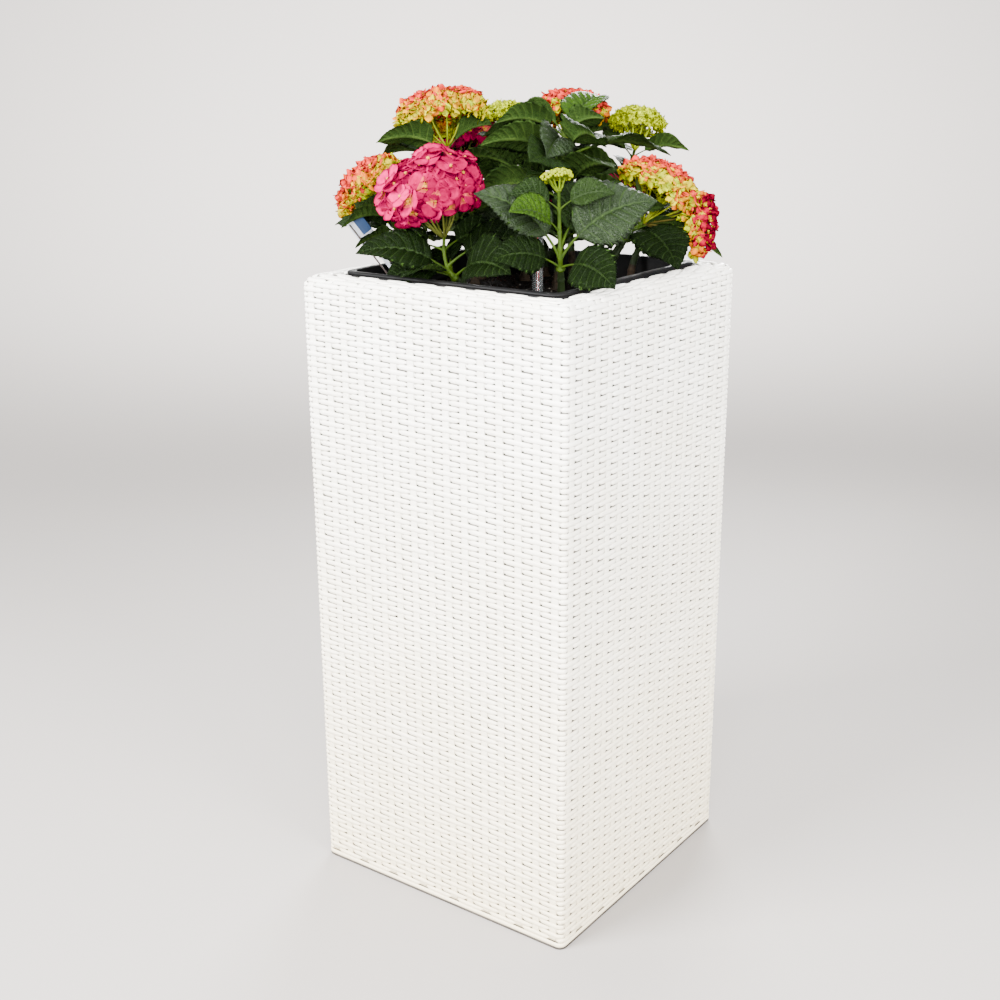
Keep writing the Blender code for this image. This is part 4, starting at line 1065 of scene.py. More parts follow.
# A leaf with no room for itself is turned, lifted or shortened a little, in this order: degrees of
# turn, degrees of lift, share of its length.
NUDGES = [(0, 0, 1.0), (0, 8, 1.0), (8, 0, 1.0), (-8, 0, 1.0), (0, -8, 1.0), (0, 16, 0.95),
          (16, 6, 0.95), (-16, 6, 0.95), (0, -16, 0.95), (25, 0, 0.9), (-25, 0, 0.9),
          (12, 16, 0.85), (-12, 16, 0.85), (12, -14, 0.85), (-12, -14, 0.85), (0, 0, 0.8),
          (35, 8, 0.8), (-35, 8, 0.8), (0, 24, 0.8), (0, 0, 0.68)]
# A smaller leaf stands in the axil of each leaf below a stem's top, except on the two stems in
# front: how far it is turned from that leaf, its further rise, its share of the length and its roll.
AXIL_BARE_STEMS = ("centre", "front_left")
AXIL_HIGHEST = 0.75
AXIL_TURN = 58.0
AXIL_RISE = (4, 30)
AXIL_SHARE = (0.46, 0.68)
AXIL_ROLL = 14
# A few single leaves more, which fill gaps at the front and at the left.
MORE_LEAVES = [("front_left", Leaf(0.05, -154, -6, 0.096, -10)), ("left", Leaf(0.10, -112, -8, 0.066)),
               ("crown", Leaf(0.84, -36, 14, 0.112, 8)), ("right", Leaf(0.97, -60, 30, 0.082)),
               ("right_back", Leaf(0.42, -150, 24, 0.100)), ("left", Leaf(0.72, -104, -3, 0.080))]
VEIN_PAIRS = 8
VEIN_SLANT = 0.20
PANEL_STATIONS = [0.05, 0.40, 0.50, 0.86, 0.95]
TOOTH_OF_STATION = [-0.35, 1.0, -0.35, 1.0, -0.35]
TOOTH_DEPTH = 0.058
BLADE_ACROSS = [0.0, 0.045, 0.20, 0.40, 0.62, 0.83, 1.0]
# A blade's outline: powers that push its widest place towards the stalk and round its sides, how
# much narrower it is at the tip, and its least half width as a share of the leaf's length.
WIDEST_POWER = 0.78
ROUND_POWER = 0.75
TIP_NARROWING = 0.5
TIP_POWER = 6
LEAST_HALF_WIDTH = 0.009
QUILT = 0.115
QUILT_ROUNDNESS = 0.7
QUILT_INWARD = 0.6
EDGE_WAVES = 1.6
EDGE_WAVE_SHIFT = 0.35
EDGE_WAVE_SIZE = (0.04, 0.17)
EDGE_WAVE_POWER = 2.5
LEAF_FOLD = (0.10, 0.34)
SMALL_LEAF = 0.084
SMALL_LEAF_FOLD = 0.16
FOLD_POWER = 1.15
BLADE_BELLY = 0.05
BLADE_THICKNESS = 0.0005
BLADE_SEED = 21
MIDRIB_GROOVE = 0.0006
MIDRIB_RIDGE = 0.0010
MIDRIB_TAPER = 0.25
MIDRIB_LEAST = 0.15
VEIN_END = 0.90
MIDRIB_END = 0.04
STALK_RADII = (0.0018, 0.0011)
STALK_ROWS = 10
STALK_SIDES = 8
STALK_LAP = 0.02
STALK_SWELL = 0.5
STALK_SWELL_ROWS = 1.2
STALK_LEAF = 0.11
STALK_SCALE = (0.6, 1.15)
# Painted shade in part: the first green, the darkest, is for low leaves in the shade of those above.
LEAF_GREENS = [
    ("old_and_shaded", (0.0019, 0.0045, 0.0007), (0.0012, 0.0030, 0.0005), 0.02),
    ("deep", (0.0040, 0.0092, 0.0014), (0.0024, 0.0062, 0.0010), 0.04),
    ("middle", (0.0066, 0.0136, 0.0024), (0.0042, 0.0094, 0.0016), 0.05),
    # Partly painted sheen: this green holds the bluish cast of reflected light.
    ("blue", (0.0078, 0.0138, 0.0046), (0.0048, 0.0092, 0.0030), 0.10),
    ("fresh", (0.0130, 0.0300, 0.0014), (0.0080, 0.0200, 0.0011), 0.04),
]
OLD_AND_SHADED, DEEP, MIDDLE, BLUE_SHEEN, FRESH, VEIN, UNDER, UNDER_VEIN = range(8)
# Most leaves draw their green by chance.  These joints have fresh or bluish ones.  Every leaf whose
# middle is below the low level takes the darkest green: partly because low leaves are older, partly
# as painted shade for the shade under the leaves above.  The bluish green is partly painted sheen,
# the blue-grey cast of light reflected from the leaf.
FRESH_JOINTS = [("centre", 0.63), ("crown", 0.97), ("right_back", 0.90)]
SHEEN_BLUE_JOINTS = [("centre", 0.32), ("centre", 0.15), ("crown", 0.96)]
LOW_LEVEL = 0.850
TONE_STATION = 0.6
VEIN_GREEN = (0.0100, 0.0210, 0.0034)
UNDER_GREEN = (0.015, 0.032, 0.005)
UNDER_SHADE = (0.010, 0.024, 0.004)
UNDER_NET = (0.034, 0.060, 0.010)
NET_PALER = 2.2
NET_SCALE = 330.0
NET_DEPTH = 0.0008

# The group of a blade's finishes: broad noise blends its green into a deeper one, and a net of fine
# veins, the edges of cells, is a little paler and sunk between small blisters.
leaf_skin = shader_group(
    "leaf_skin",
    {"Colour": "Color", "Deep Colour": "Color", "Net Colour": "Color", "Patch Scale": "Float",
     "Net Scale": "Float", "Net Share": "Float", "Net Depth": "Float"},
    {"Colour": "Color", "Normal": "Vector"},
    [("place", "TexCoord", {}),
     ("patches", "TexNoise", {"Detail": 4.0}),
     ("spread", "MapRange", {"From Min": 0.34, "From Max": 0.66}),
     ("blend", "Mix", {"data_type": "RGBA"}),
     ("cells", "TexVoronoi", {"feature": "DISTANCE_TO_EDGE"}),
     ("blister", "MapRange", {"From Max": 0.30}),
     ("net", "MapRange", {"From Max": 0.10, "To Max": 0.0}),
     ("veined", "Mix", {"data_type": "RGBA"}),
     ("bump", "Bump", {})],
    ["place.Object > patches.Vector", "given.Patch Scale > patches.Scale",
     "patches.Fac > spread.Value", "spread.Result > blend.Factor",
     "given.Colour > blend.A", "given.Deep Colour > blend.B", "blend.Result > veined.A",
     "place.Object > cells.Vector", "given.Net Scale > cells.Scale",
     "cells.Distance > net.Value", "given.Net Share > net.To Min", "net.Result > veined.Factor",
     "given.Net Colour > veined.B", "veined.Result > result.Colour",
     "cells.Distance > blister.Value", "blister.Result > bump.Height",
     "given.Net Depth > bump.Distance", "bump.Normal > result.Normal"])


def blade_finish(name, colour, deep, net, share, rough, shine):
    """A finish on the leaf skin group: net is the colour of the fine veins and share how much of it
    shows; shine is the strength of the mirror-like part."""
    values = {"Colour": colour, "Deep Colour": deep, "Net Colour": net, "Patch Scale": 45.0,
              "Net Scale": NET_SCALE, "Net Share": share, "Net Depth": NET_DEPTH}
    return group_finish(name, leaf_skin, values, {"Roughness": rough, "Specular IOR Level": shine})


def shaded(colour, share):
    """A colour made paler or deeper by a share."""
    return tuple(share * level for level in colour)


def leaf_tip(root, leaf):
    """Where a leaf ends: from its root, five straight steps whose slope falls as they run."""
    run = np.array(LEAF_STATIONS)
    pitch = np.radians(leaf.rise + LEAF_DROOP * (0.5 - (run[1:] + run[:-1]) / 2))
    steps = np.diff(run) * leaf.length
    return root + ring_points((np.cos(pitch) * steps).sum(), radians(leaf.bearing),
                              (np.sin(pitch) * steps).sum())


# A leaf is set as its stem's solid has it: the first nudge that ends on one of the solid's corners.
leaves = []
leaf_roots = []
leaf_joints = []
placing_dice = np.random.default_rng(PLACING_SEED)
for name, shoot in SHOOTS.items():
    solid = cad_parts["mass_" + name].data.vertices
    solid_corners = np.empty(3 * len(solid), dtype=np.float32)
    solid.foreach_get("co", solid_corners)
    for wanted in shoot.leaves:
        turn, lift, roll = placing_dice.normal(0, LEAF_SPREAD)
        size = placing_dice.uniform(*SIZE_SPREAD)
        root = stem_point(stem_lines[name], wanted.height)
        for more_turn, more_lift, shorter in NUDGES:
            leaf = Leaf(wanted.height, wanted.bearing + turn + more_turn,
                        wanted.rise + lift + more_lift, wanted.length * size * shorter,
                        wanted.roll + roll)
            misses = np.linalg.norm(solid_corners.reshape(-1, 3) - leaf_tip(root, leaf), axis=1)
            if misses.min() < TIP_MATCH:
                leaves.append(leaf)
                leaf_roots.append(root)
                leaf_joints.append((name, wanted.height))
                break
for number, (name, height) in enumerate(leaf_joints):
    if name in AXIL_BARE_STEMS or height > AXIL_HIGHEST:
        continue
    leaf = leaves[number]
    leaves.append(Leaf(height, leaf.bearing + AXIL_TURN * (-1) ** number,
                       leaf.rise + placing_dice.uniform(*AXIL_RISE),
                       leaf.length * placing_dice.uniform(*AXIL_SHARE), placing_dice.normal(0, AXIL_ROLL)))
    leaf_roots.append(leaf_roots[number])
for name, leaf in MORE_LEAVES:
    leaves.append(leaf)
    leaf_roots.append(stem_point(stem_lines[name], leaf.height))
leaf_roots = np.array(leaf_roots)
leaf_bearing = np.radians([leaf.bearing for leaf in leaves])
leaf_rise = np.radians([leaf.rise for leaf in leaves])
leaf_length = np.array([leaf.length for leaf in leaves])
leaf_roll = np.radians([leaf.roll for leaf in leaves])
leaf_count = len(leaves)


def leaf_line(share):
    """Middle line of every leaf and its direction at a share of the leaf's length: the slope falls
    steadily by the droop, so the line is a piece of a circle.  share has a first axis for leaves."""
    spare = (1,) * (share.ndim - 1)
    bearing, begin, length = (of_leaf.reshape(-1, *spare)
                              for of_leaf in (leaf_bearing, leaf_rise, leaf_length))
    droop = radians(LEAF_DROOP)
    begin = begin + droop / 2
    pitch = begin - droop * share
    flat = (np.sin(begin) - np.sin(pitch)) / droop * length
    rise = (np.cos(pitch) - np.cos(begin)) / droop * length
    place = leaf_roots.reshape(-1, *spare, 3) + ring_points(flat, bearing, rise)
    return place, ring_points(np.cos(pitch), bearing, np.sin(pitch))


def leaf_faces(ahead):
    """Upper face and side directions of every blade: the face looks up and a little out from the
    planter's middle, square to the line, and is then rolled about it."""
    middle, _ = leaf_line(np.full((leaf_count, 1), FACING_STATION))
    outward = unit(middle[:, 0] * (1, 1, 0))
    tilt = radians(LEAF_OUTWARD_TILT)
    spare = (1,) * (ahead.ndim - 2)
    face = (UP * cos(tilt) + outward * sin(tilt)).reshape(-1, *spare, 3)
    face = unit(face - ahead * (ahead * face).sum(axis=-1, keepdims=True))
    side = np.cross(ahead, face)
    roll = leaf_roll.reshape(-1, *spare, 1)
    return face * np.cos(roll) + side * np.sin(roll), side * np.cos(roll) - face * np.sin(roll)


# Rows of a blade run from side vein to side vein, panel by panel; its columns run over the upper
# side from edge to edge and back below.
blade_panels = VEIN_PAIRS + 1
row_share = ((np.arange(blade_panels)[:, None] + np.array(PANEL_STATIONS)) / blade_panels).ravel()
row_share[[0, -1]] = (0.0, 1.0)
row_quilt = np.sin(np.pi * np.tile(PANEL_STATIONS, blade_panels)) ** QUILT_ROUNDNESS
row_tooth = np.tile(TOOTH_OF_STATION, blade_panels)
row_quilt[[0, -1]] = 0
row_tooth[[0, -1]] = 0
half_across = np.array(BLADE_ACROSS)
top_across = np.concatenate([-half_across[:0:-1], half_across])
blade_across = np.concatenate([top_across, top_across[-2:0:-1]])
above = np.concatenate([np.ones(len(top_across)), -np.ones(len(top_across) - 2)])
inward = np.abs(blade_across)
on_edge = inward == 1
blade_share = row_share[:, None] + VEIN_SLANT * inward * 4 * (row_share * (1 - row_share))[:, None]
whole_share = np.clip(blade_share, 0, 1)
half_width = np.sin(np.pi * whole_share ** WIDEST_POWER) ** ROUND_POWER * BLADE_HALF_WIDTH
half_width = np.maximum(half_width * (1 - TIP_NARROWING * whole_share ** TIP_POWER), LEAST_HALF_WIDTH)
sideways = blade_across * (1 + on_edge * TOOTH_DEPTH * row_tooth[:, None])
blade_dice = np.random.default_rng(BLADE_SEED)
wave_phase = blade_dice.uniform(0, 2 * np.pi, (leaf_count, 1, 1))
wave_size = blade_dice.uniform(*EDGE_WAVE_SIZE, (leaf_count, 1, 1))
wave_place = EDGE_WAVES * row_share[:, None] + EDGE_WAVE_SHIFT * np.sign(blade_across)
ripple = wave_size * np.sin(2 * np.pi * wave_place + wave_phase) * inward ** EDGE_WAVE_POWER
fold = blade_dice.uniform(*LEAF_FOLD, (leaf_count, 1, 1))
fold = np.where(leaf_length[:, None, None] < SMALL_LEAF, fold + SMALL_LEAF_FOLD, fold)
bowl = fold * inward ** FOLD_POWER + BLADE_BELLY * np.sin(np.pi * inward)
quilting = QUILT * row_quilt[:, None] * np.sin(np.pi * inward ** QUILT_INWARD) ** 0.5
half_size = half_width * leaf_length[:, None, None]
on_rib = (inward == 0) * np.clip(half_width / (MIDRIB_TAPER * BLADE_HALF_WIDTH), MIDRIB_LEAST, 1.0)
skin_gap = np.where(on_edge, 0.0, BLADE_THICKNESS / 2 * above)
rib_gap = on_rib * np.where(above > 0, -MIDRIB_GROOVE, -MIDRIB_RIDGE)
blade_lift = half_size * (bowl + quilting + ripple) + skin_gap + rib_gap
along_leaf = STALK_SHARE + (1 - STALK_SHARE) * blade_share
blade_line, blade_ahead = leaf_line(np.broadcast_to(along_leaf, (leaf_count, *blade_share.shape)))
blade_face, blade_side = leaf_faces(blade_ahead)
blade_rings = (blade_line + blade_side * (half_size * sideways)[..., None]
               + blade_face * blade_lift[..., None])

leaf_finishes = [blade_finish("leaf_" + tone, colour, deep, shaded(colour, NET_PALER), 0.45, 0.46, shine)
                 for tone, colour, deep, shine in LEAF_GREENS]
leaf_finishes.append(finish("leaf_vein", VEIN_GREEN, LEAF_GREENS[MIDDLE][1], patch=60.0, smooth=0.50,
                            rough=0.65, shine=0.08))
leaf_finishes.append(blade_finish("leaf_under", UNDER_GREEN, UNDER_SHADE, UNDER_NET, 0.50, 0.65, 0.04))
leaf_finishes.append(finish("leaf_under_vein", UNDER_NET, UNDER_GREEN, patch=60.0, smooth=0.50,
                            rough=0.70, shine=0.08))
tone_of_leaf = blade_dice.choice([DEEP, DEEP, DEEP, MIDDLE, MIDDLE, BLUE_SHEEN], leaf_count)
# Partly painted sheen on these leaves.
tone_of_leaf[[number for number, joint in enumerate(leaf_joints) if joint in SHEEN_BLUE_JOINTS]] = BLUE_SHEEN
tone_place, _ = leaf_line(np.full((leaf_count, 1), TONE_STATION))
# Painted shade, in part: low leaves take the darkest green.
tone_of_leaf[tone_place[:, 0, 2] < LOW_LEVEL] = OLD_AND_SHADED
tone_of_leaf[[number for number, joint in enumerate(leaf_joints) if joint in FRESH_JOINTS]] = FRESH
vein_row = np.arange(len(row_share) - 1) % len(PANEL_STATIONS) == len(PANEL_STATIONS) - 1
between = (inward + np.roll(inward, -1)) / 2
on_vein = (vein_row[:, None] & (between < VEIN_END)) | (between < MIDRIB_END)
upper_side = np.arange(len(blade_across)) < len(top_across) - 1
vein_tone = np.where(tone_of_leaf == OLD_AND_SHADED, MIDDLE, VEIN)[:, None, None]
upper_tone = np.where(on_vein, vein_tone, tone_of_leaf[:, None, None])
blade_tone = np.where(upper_side, upper_tone, np.where(on_vein, UNDER_VEIN, UNDER))
leaf_pieces = []
for third, chosen in enumerate(np.array_split(np.arange(leaf_count), 3)):
    end_tones = np.tile(np.where(upper_side, blade_tone[chosen, 0], UNDER), (2, 1))
    tones = np.concatenate([blade_tone[chosen].ravel(), end_tones.ravel()])
    leaf_pieces.append(piece(f"leaves_{third + 1}", *tube_skin(blade_rings[chosen]), leaf_finishes,
                             "foliage", tones))

stalk_share = np.linspace(0.0, STALK_SHARE + STALK_LAP, STALK_ROWS)
stalk_line, _ = leaf_line(np.broadcast_to(stalk_share, (leaf_count, STALK_ROWS)))
stalk_swell = 1 + STALK_SWELL * np.exp(-np.arange(STALK_ROWS) / STALK_SWELL_ROWS)
stalk_radius = np.linspace(*STALK_RADII, STALK_ROWS) * stalk_swell
stalk_radius = stalk_radius * np.clip(leaf_length / STALK_LEAF, *STALK_SCALE)[:, None]
stalk_finish = finish("leaf_stalk", STEM_GREEN, STEM_SHADE, patch=120.0, smooth=0.42, rough=0.60,
                      shine=0.05)
leaf_stalks = piece("leaf_stalks", *tube_skin(limb_rings(stalk_line, stalk_radius, STALK_SIDES)),
                    [stalk_finish], "foliage")
masses = ["mass_" + name for name in SHOOTS]
for green in (stems, leaf_stalks, *leaf_pieces):
    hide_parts(*masses)


# ---- Flower heads --------------------------------------------------------------------------------
# Each head is a fan of stalks that branch from the stem's tip and carry many small florets on a
# dome: four cupped sepals round a bead.  Young heads are lime, and they turn salmon, then magenta.

# A sepal's columns, its (reach, half width) row by row, and between the rows: 0 for its heart, 1 for
# the blush round it and 2 for its own shade, and how many steps that shade moves on there.
SepalForm = namedtuple("SepalForm", "columns rows hearts steps")
BROAD_SEPAL = SepalForm(4, [(0.04, 0.08), (0.20, 0.28), (0.40, 0.50), (0.64, 0.60), (0.86, 0.44),
                            (1.0, 0.12)], [0, 1, 2, 2, 2], [1, 1, 0, 0, -1])
SMALL_SEPAL = SepalForm(2, [(0.04, 0.08), (0.36, 0.42), (0.68, 0.46), (1.0, 0.08)], [0, 2, 2], [0, 0, 0])
TINY_SEPAL = SepalForm(2, [(0.04, 0.08), (0.52, 0.48), (1.0, 0.08)], [0, 2], [0, 0])
# A head's height to its radius, a floret's size, the surface that it has in squares of that size,
# the level of the lowest ring, how far sepals are cupped and florets tilted, the depth of the head's
# lobes, the size of a bead to its floret, and the form of a sepal.
HeadForm = namedtuple("HeadForm", "height floret share lowest cup tilt lobes bead sepal")
HEAD_FORMS = {
    "ripe": HeadForm(0.80, 0.0184, 1.42, -0.72, 0.22, 0.26, 0.15, 0.12, BROAD_SEPAL),
    "turning": HeadForm(0.52, 0.0112, 1.20, -0.42, 0.38, 0.40, 0.07, 0.15, SMALL_SEPAL),
    "dark": HeadForm(0.50, 0.0108, 1.70, -0.30, 0.34, 0.40, 0.07, 0.15, SMALL_SEPAL),
    "young": HeadForm(0.60, 0.0061, 1.26, -0.42, 0.46, 0.50, 0.06, 0.26, TINY_SEPAL),
    "bud": HeadForm(0.50, 0.0036, 1.60, -0.15, 0.0, 0.0, 0.03, 0.60, None),
}
# Colours of beads, stalks, hearts with the blush round them, and sepals.  Those of the sepals go
# from the head's crown down, or for ripe heads from the deeper side across.  The bright lime stalks
# of turning and young heads are painted light, for light let through the sepals into the head.
HeadColours = namedtuple("HeadColours", "bead stalk hearts sepals")
HEAD_COLOURS = {
    "ripe": HeadColours(
        (0.380, 0.160, 0.022), (0.060, 0.066, 0.009), [(0.460, 0.200, 0.016), (0.400, 0.050, 0.046)],
        [(0.185, 0.0001, 0.028), (0.245, 0.0001, 0.038), (0.300, 0.0001, 0.050),
         (0.350, 0.0003, 0.062), (0.410, 0.0030, 0.078)]),
    "turning": HeadColours(
        (0.270, 0.285, 0.0006), (0.120, 0.140, 0.003), [(0.360, 0.275, 0.0006), (0.380, 0.190, 0.001)],
        [(0.420, 0.030, 0.022), (0.430, 0.052, 0.014), (0.430, 0.105, 0.004), (0.410, 0.190, 0.0006),
         (0.340, 0.275, 0.0004), (0.285, 0.305, 0.0004), (0.240, 0.285, 0.0004)]),
    "dark": HeadColours(
        (0.230, 0.240, 0.0006), (0.045, 0.036, 0.005), [(0.280, 0.160, 0.001), (0.270, 0.060, 0.004)],
        [(0.100, 0.0004, 0.008), (0.240, 0.0025, 0.016), (0.400, 0.030, 0.020),
         (0.420, 0.105, 0.004), (0.320, 0.225, 0.0005), (0.225, 0.240, 0.0005)]),
    "young": HeadColours(
        (0.300, 0.345, 0.0006), (0.190, 0.240, 0.002), [(0.280, 0.320, 0.0005), (0.250, 0.290, 0.0005)],
        [(0.230, 0.265, 0.0003), (0.290, 0.330, 0.0003), (0.180, 0.222, 0.0003)]),
    "bud": HeadColours((0.165, 0.196, 0.0004), (0.070, 0.105, 0.002), [], []),
}
FLOWER_SEED = 17
HEAD_UNDERSIDE = 0.62
HEAD_INSET = 0.95
FLORET_SPREAD = (0.82, 1.10)
GOLDEN_TURN = np.pi * (3 - 5 ** 0.5)
DOWN_JITTER = 0.06
TURN_JITTER = 0.25
REACH_SPREAD = (0.90, 1.0)
FACE_LIFT = 0.15
SEPAL_THICKNESS = 0.030
SEPAL_DIP = 0.16
SEPAL_TIER = 0.05
SEPAL_WAVE = 0.055
WAVES_ACROSS = 2.4
WAVES_ALONG = 3
SEPAL_SPREAD = (0.88, 1.08)
CUP_SPREAD = (0.3, 1.5)
SPIN_SPREAD = 0.07
BEAD_RISE = 0.10
MAIN_BRANCHES = 8
BRANCH_LEVELS = (-0.05, 0.22)
BRANCH_SPREAD = 0.50
BRANCH_SAG = -0.10
BRANCH_START = 0.002
BRANCH_RADII = (0.0015, 0.0009)
BRANCH_ROWS = 5
BRANCH_SIDES = 6
FLORET_STALK_RADII = (0.0007, 0.0004)
FLORET_STALK_END = 0.04
# A floret's age is the share of the way through its head's colours: on ripe heads it falls towards
# the deep side, on others it grows down from the crown, later where the salmon share is larger.
DEEP_SIDE = (0.80, 0.56, 0.20)
RIPE_AGE = 0.42
CROWN_AGE = 0.06
AGE_DOWN = 0.80
SALMON_SHARE = {"upper_left": 0.32, "left": 0.36, "top": 0.60, "right": 0.34}
COMMON_SALMON_SHARE = 0.20
AGE_SPREAD = 0.15
STRAY_SEPALS = 0.25
CREAM_HEARTS = 0.38


def stand_on(axis):
    """Three square directions of a head, the last along its axis."""
    axis = unit(axis)
    first = unit(np.cross((0.0, 1.0, 0.0), axis))
    return np.stack([first, np.cross(axis, first), axis])


def floret_places(form, centre, radius, directions, dice):
    """Spots of the florets: a golden spiral down a ball from its top to its lowest ring, squashed
    to the head's height, swollen in seeded lobes and jittered, with the outward direction at each."""
    count = int(2 * np.pi * radius ** 2 * (1 - form.lowest) / (form.share * form.floret ** 2)) + 1
    down = 1 - (1 - form.lowest) * (np.arange(count) + 0.5) / count
    down = np.clip(down + dice.uniform(-DOWN_JITTER, DOWN_JITTER, count), -0.95, 1.0)
    turn = np.arange(count) * GOLDEN_TURN + dice.uniform(-TURN_JITTER, TURN_JITTER, count)
    girth = np.sqrt(1 - down ** 2)
    flat = np.where(down > 0, form.height, form.height * HEAD_UNDERSIDE)
    swell = np.sin(3 * turn + dice.uniform(0, 6)) * girth
    swell += np.sin(5 * down + 2 * turn + dice.uniform(0, 6))
    reach = radius * dice.uniform(*REACH_SPREAD, count) * (1 - form.lobes + form.lobes * swell / 2)
    spots = ring_points(girth, turn, down * flat) * reach[:, None]
    outward = ring_points(girth, turn, down / flat + FACE_LIFT)
    outward = unit(outward + dice.normal(0, form.tilt, outward.shape))
    return centre + spots @ directions, outward @ directions, down


def sepal_rings(form, spots, outward, sizes, dice):
    """Four sepals to a floret.  A sepal is a rounded lozenge: its half width grows and falls along
    its reach, it is cupped as the square of the reach, dips along its middle and is wavy."""
    count = len(spots)
    reach, half = np.array(form.sepal.rows).T[:, :, None]
    top = np.linspace(-1, 1, form.sepal.columns + 1)
    across = np.concatenate([top, top[-2:0:-1]])
    above = np.concatenate([np.zeros(len(top)), -np.ones(len(top) - 2)])
    guide = np.where(np.abs(outward[:, 2:]) < 0.8, (0.0, 0.0, 1.0), (1.0, 0.0, 0.0))
    first = unit(np.cross(outward, guide))
    second = np.cross(outward, first)
    spin = dice.uniform(0, 2 * np.pi, (count, 1)) + np.arange(4) * np.pi / 2
    spin = spin + dice.normal(0, SPIN_SPREAD, (count, 4))
    ahead = first[:, None] * np.cos(spin)[..., None] + second[:, None] * np.sin(spin)[..., None]
    side = np.cross(outward[:, None], ahead)
    size = sizes[:, None] * dice.uniform(*SEPAL_SPREAD, (count, 4))
    cup = form.cup * dice.uniform(*CUP_SPREAD, (count, 4, 1, 1))
    wave = dice.uniform(0, 2 * np.pi, (count, 4, 1, 1))
    tier = np.where(np.arange(4) % 2 == 0, SEPAL_TIER, 0.0)[:, None, None]
    waves = SEPAL_WAVE * np.sin(WAVES_ACROSS * across + wave + WAVES_ALONG * reach) * reach
    raised = (cup * reach ** 2 + SEPAL_DIP * across ** 2 * half + tier + waves
              + SEPAL_THICKNESS * above)
    place = (ahead[:, :, None, None] * reach[..., None]
             - side[:, :, None, None] * (half * across)[..., None]
             + outward[:, None, None, None] * raised[..., None])
    rings = spots[:, None, None, None] + place * size[:, :, None, None, None]
    return rings.reshape(count * 4, len(reach), len(across), 3)


def stalk_rings(starts, ends, bow, radii):
    """Stalks from starts to ends, straight but for a bow that is half a wave."""
    share = np.linspace(0, 1, BRANCH_ROWS)[:, None]
    path = starts[:, None] + (ends - starts)[:, None] * share + np.sin(np.pi * share) * bow
    return limb_rings(path, np.linspace(*radii, BRANCH_ROWS), BRANCH_SIDES)


flower_dice = np.random.default_rng(FLOWER_SEED)
florets = {kind: [] for kind in HEAD_FORMS}
head_stalks = {kind: [] for kind in HEAD_FORMS}
for name, shoot in SHOOTS.items():
    tip = np.array(shoot.tip)
    for kind, middle, radius in shoot.heads:
        form = HEAD_FORMS[kind]
        centre = np.array(middle)
        directions = stand_on(centre - tip)
        spots, outward, down = floret_places(form, centre, radius * HEAD_INSET, directions, flower_dice)
        sizes = form.floret * flower_dice.uniform(*FLORET_SPREAD, len(spots))
        if kind == "ripe":
            age = RIPE_AGE - RIPE_AGE * (outward @ np.array(DEEP_SIDE))
        else:
            age = CROWN_AGE + AGE_DOWN * (1 - down) - SALMON_SHARE.get(name, COMMON_SALMON_SHARE)
        florets[kind].append((spots, outward, age, sizes))
        branch_number = np.arange(MAIN_BRANCHES)
        branch_turn = 2 * np.pi * (branch_number + 0.25) / MAIN_BRANCHES
        branch_level = np.array(BRANCH_LEVELS)[branch_number % 2] * form.height
        fan = ring_points(1.0, branch_turn, branch_level / BRANCH_SPREAD)
        forks = centre + fan * radius * BRANCH_SPREAD @ directions
        roots = np.broadcast_to(tip - UP * BRANCH_START, forks.shape)
        sag = directions[2] * radius * BRANCH_SAG
        head_stalks[kind].append(stalk_rings(roots, forks, sag, BRANCH_RADII))
        nearest = np.linalg.norm(spots[:, None] - forks[None], axis=2).argmin(axis=1)
        twig_ends = spots - outward * sizes[:, None] * FLORET_STALK_END
        head_stalks[kind].append(stalk_rings(forks[nearest], twig_ends, 0.0, FLORET_STALK_RADII))

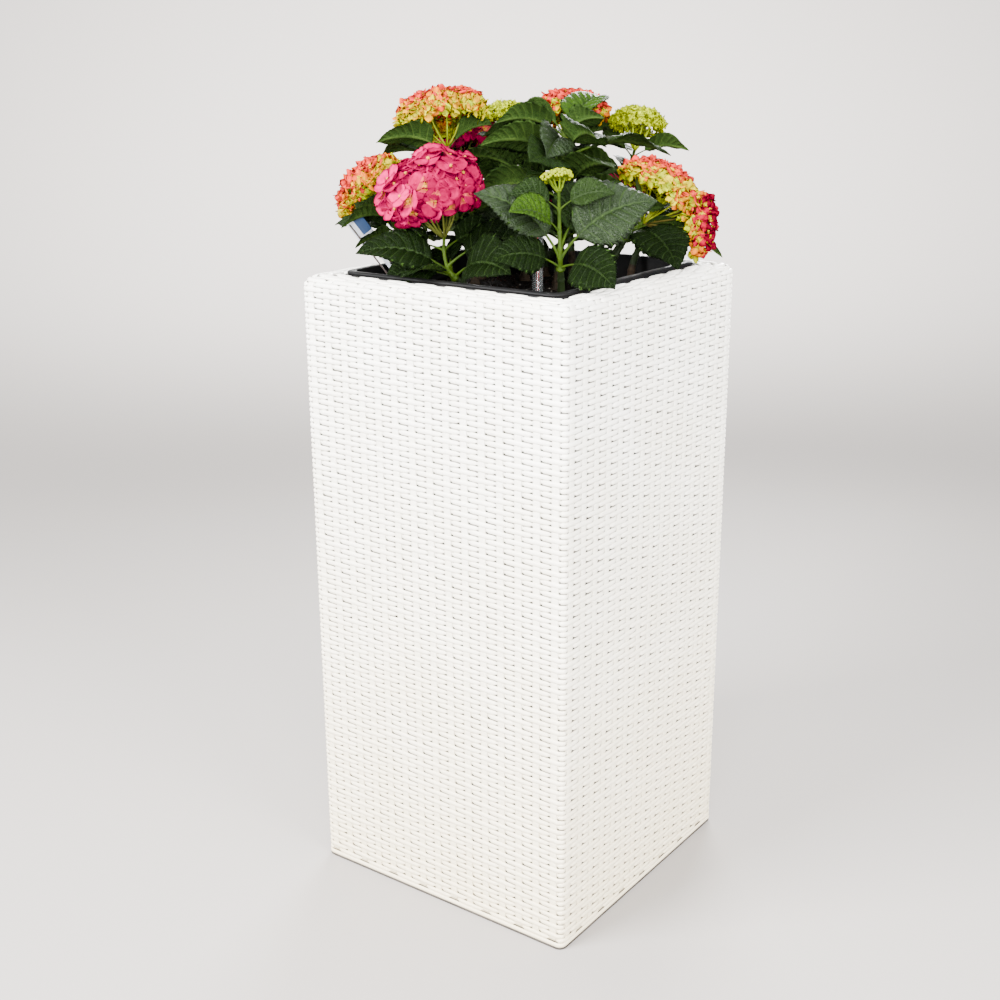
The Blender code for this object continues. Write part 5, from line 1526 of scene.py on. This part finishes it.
for kind, heads in florets.items():
    form = HEAD_FORMS[kind]
    colours = HEAD_COLOURS[kind]
    spots, outward, age, sizes = (np.concatenate(column) for column in zip(*heads))
    bead_finish = finish(f"bead_{kind}", colours.bead, shaded(colours.bead, 0.8), patch=300.0,
                         smooth=0.50, rough=0.65, shine=0.08)
    beads = lumps(spots + outward * (sizes * BEAD_RISE)[:, None], sizes * form.bead, flower_dice, 0.1)
    bead_piece = piece(f"beads_{kind}", *tube_skin(beads), [bead_finish], "foliage")
    # On turning and young heads the stalks' bright lime is painted light let through the sepals.
    head_stalk_and_glow_finish = finish(f"flower_stalk_and_glow_{kind}", colours.stalk, shaded(colours.stalk, 0.7),
                               patch=150.0, smooth=0.50, rough=0.65, shine=0.08)
    head_stalk_piece = piece(f"flower_stalks_{kind}", *tube_skin(np.concatenate(head_stalks[kind])),
                             [head_stalk_and_glow_finish], "foliage")
    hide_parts(*masses)
    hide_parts(*masses)
    if form.sepal is None:
        continue
    rings = sepal_rings(form, spots, outward, sizes, flower_dice)
    petal_finishes = [finish(f"sepal_{kind}_{part}", colour, shaded(colour, 0.85), patch=350.0,
                             smooth=0.50, rough=0.70, shine=0.0)
                      for part, colour in zip(("heart", "blush"), colours.hearts)]
    petal_finishes += [finish(f"sepal_{kind}_{shade}", colour, shaded(colour, 0.72), patch=140.0,
                              grain=900.0, smooth=0.50, rough=0.70, shine=0.0)
                       for shade, colour in enumerate(colours.sepals, start=1)]
    shades = len(colours.sepals)
    if kind == "young":
        floret_shade = flower_dice.integers(0, shades, len(spots))
    else:
        aged = np.clip(age + flower_dice.normal(0, AGE_SPREAD, len(spots)), 0, 0.999)
        floret_shade = (aged * shades).astype(int)
    sepal_shade = np.repeat(floret_shade, 4)
    stray = flower_dice.uniform(size=len(sepal_shade)) < STRAY_SEPALS
    step = stray * flower_dice.integers(-1, 2, len(sepal_shade))
    sepal_shade = np.clip(sepal_shade + step, 0, shades - 1)
    hearted = (flower_dice.uniform(size=len(spots)) < CREAM_HEARTS) | (kind != "ripe")
    row_heart = np.array(form.sepal.hearts)
    row_shade = np.clip(sepal_shade[:, None] + np.array(form.sepal.steps), 0, shades - 1)
    with_heart = np.repeat(hearted, 4)[:, None] & (row_heart < 2)
    face_tone = np.where(with_heart, row_heart, 2 + row_shade)
    around_sepal = rings.shape[2]
    petals = piece(f"sepals_{kind}", *tube_skin(rings), petal_finishes, "foliage",
                   np.concatenate([face_tone.ravel().repeat(around_sepal),
                                   face_tone[:, 0].repeat(around_sepal),
                                   face_tone[:, -1].repeat(around_sepal)]))
    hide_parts(*masses)
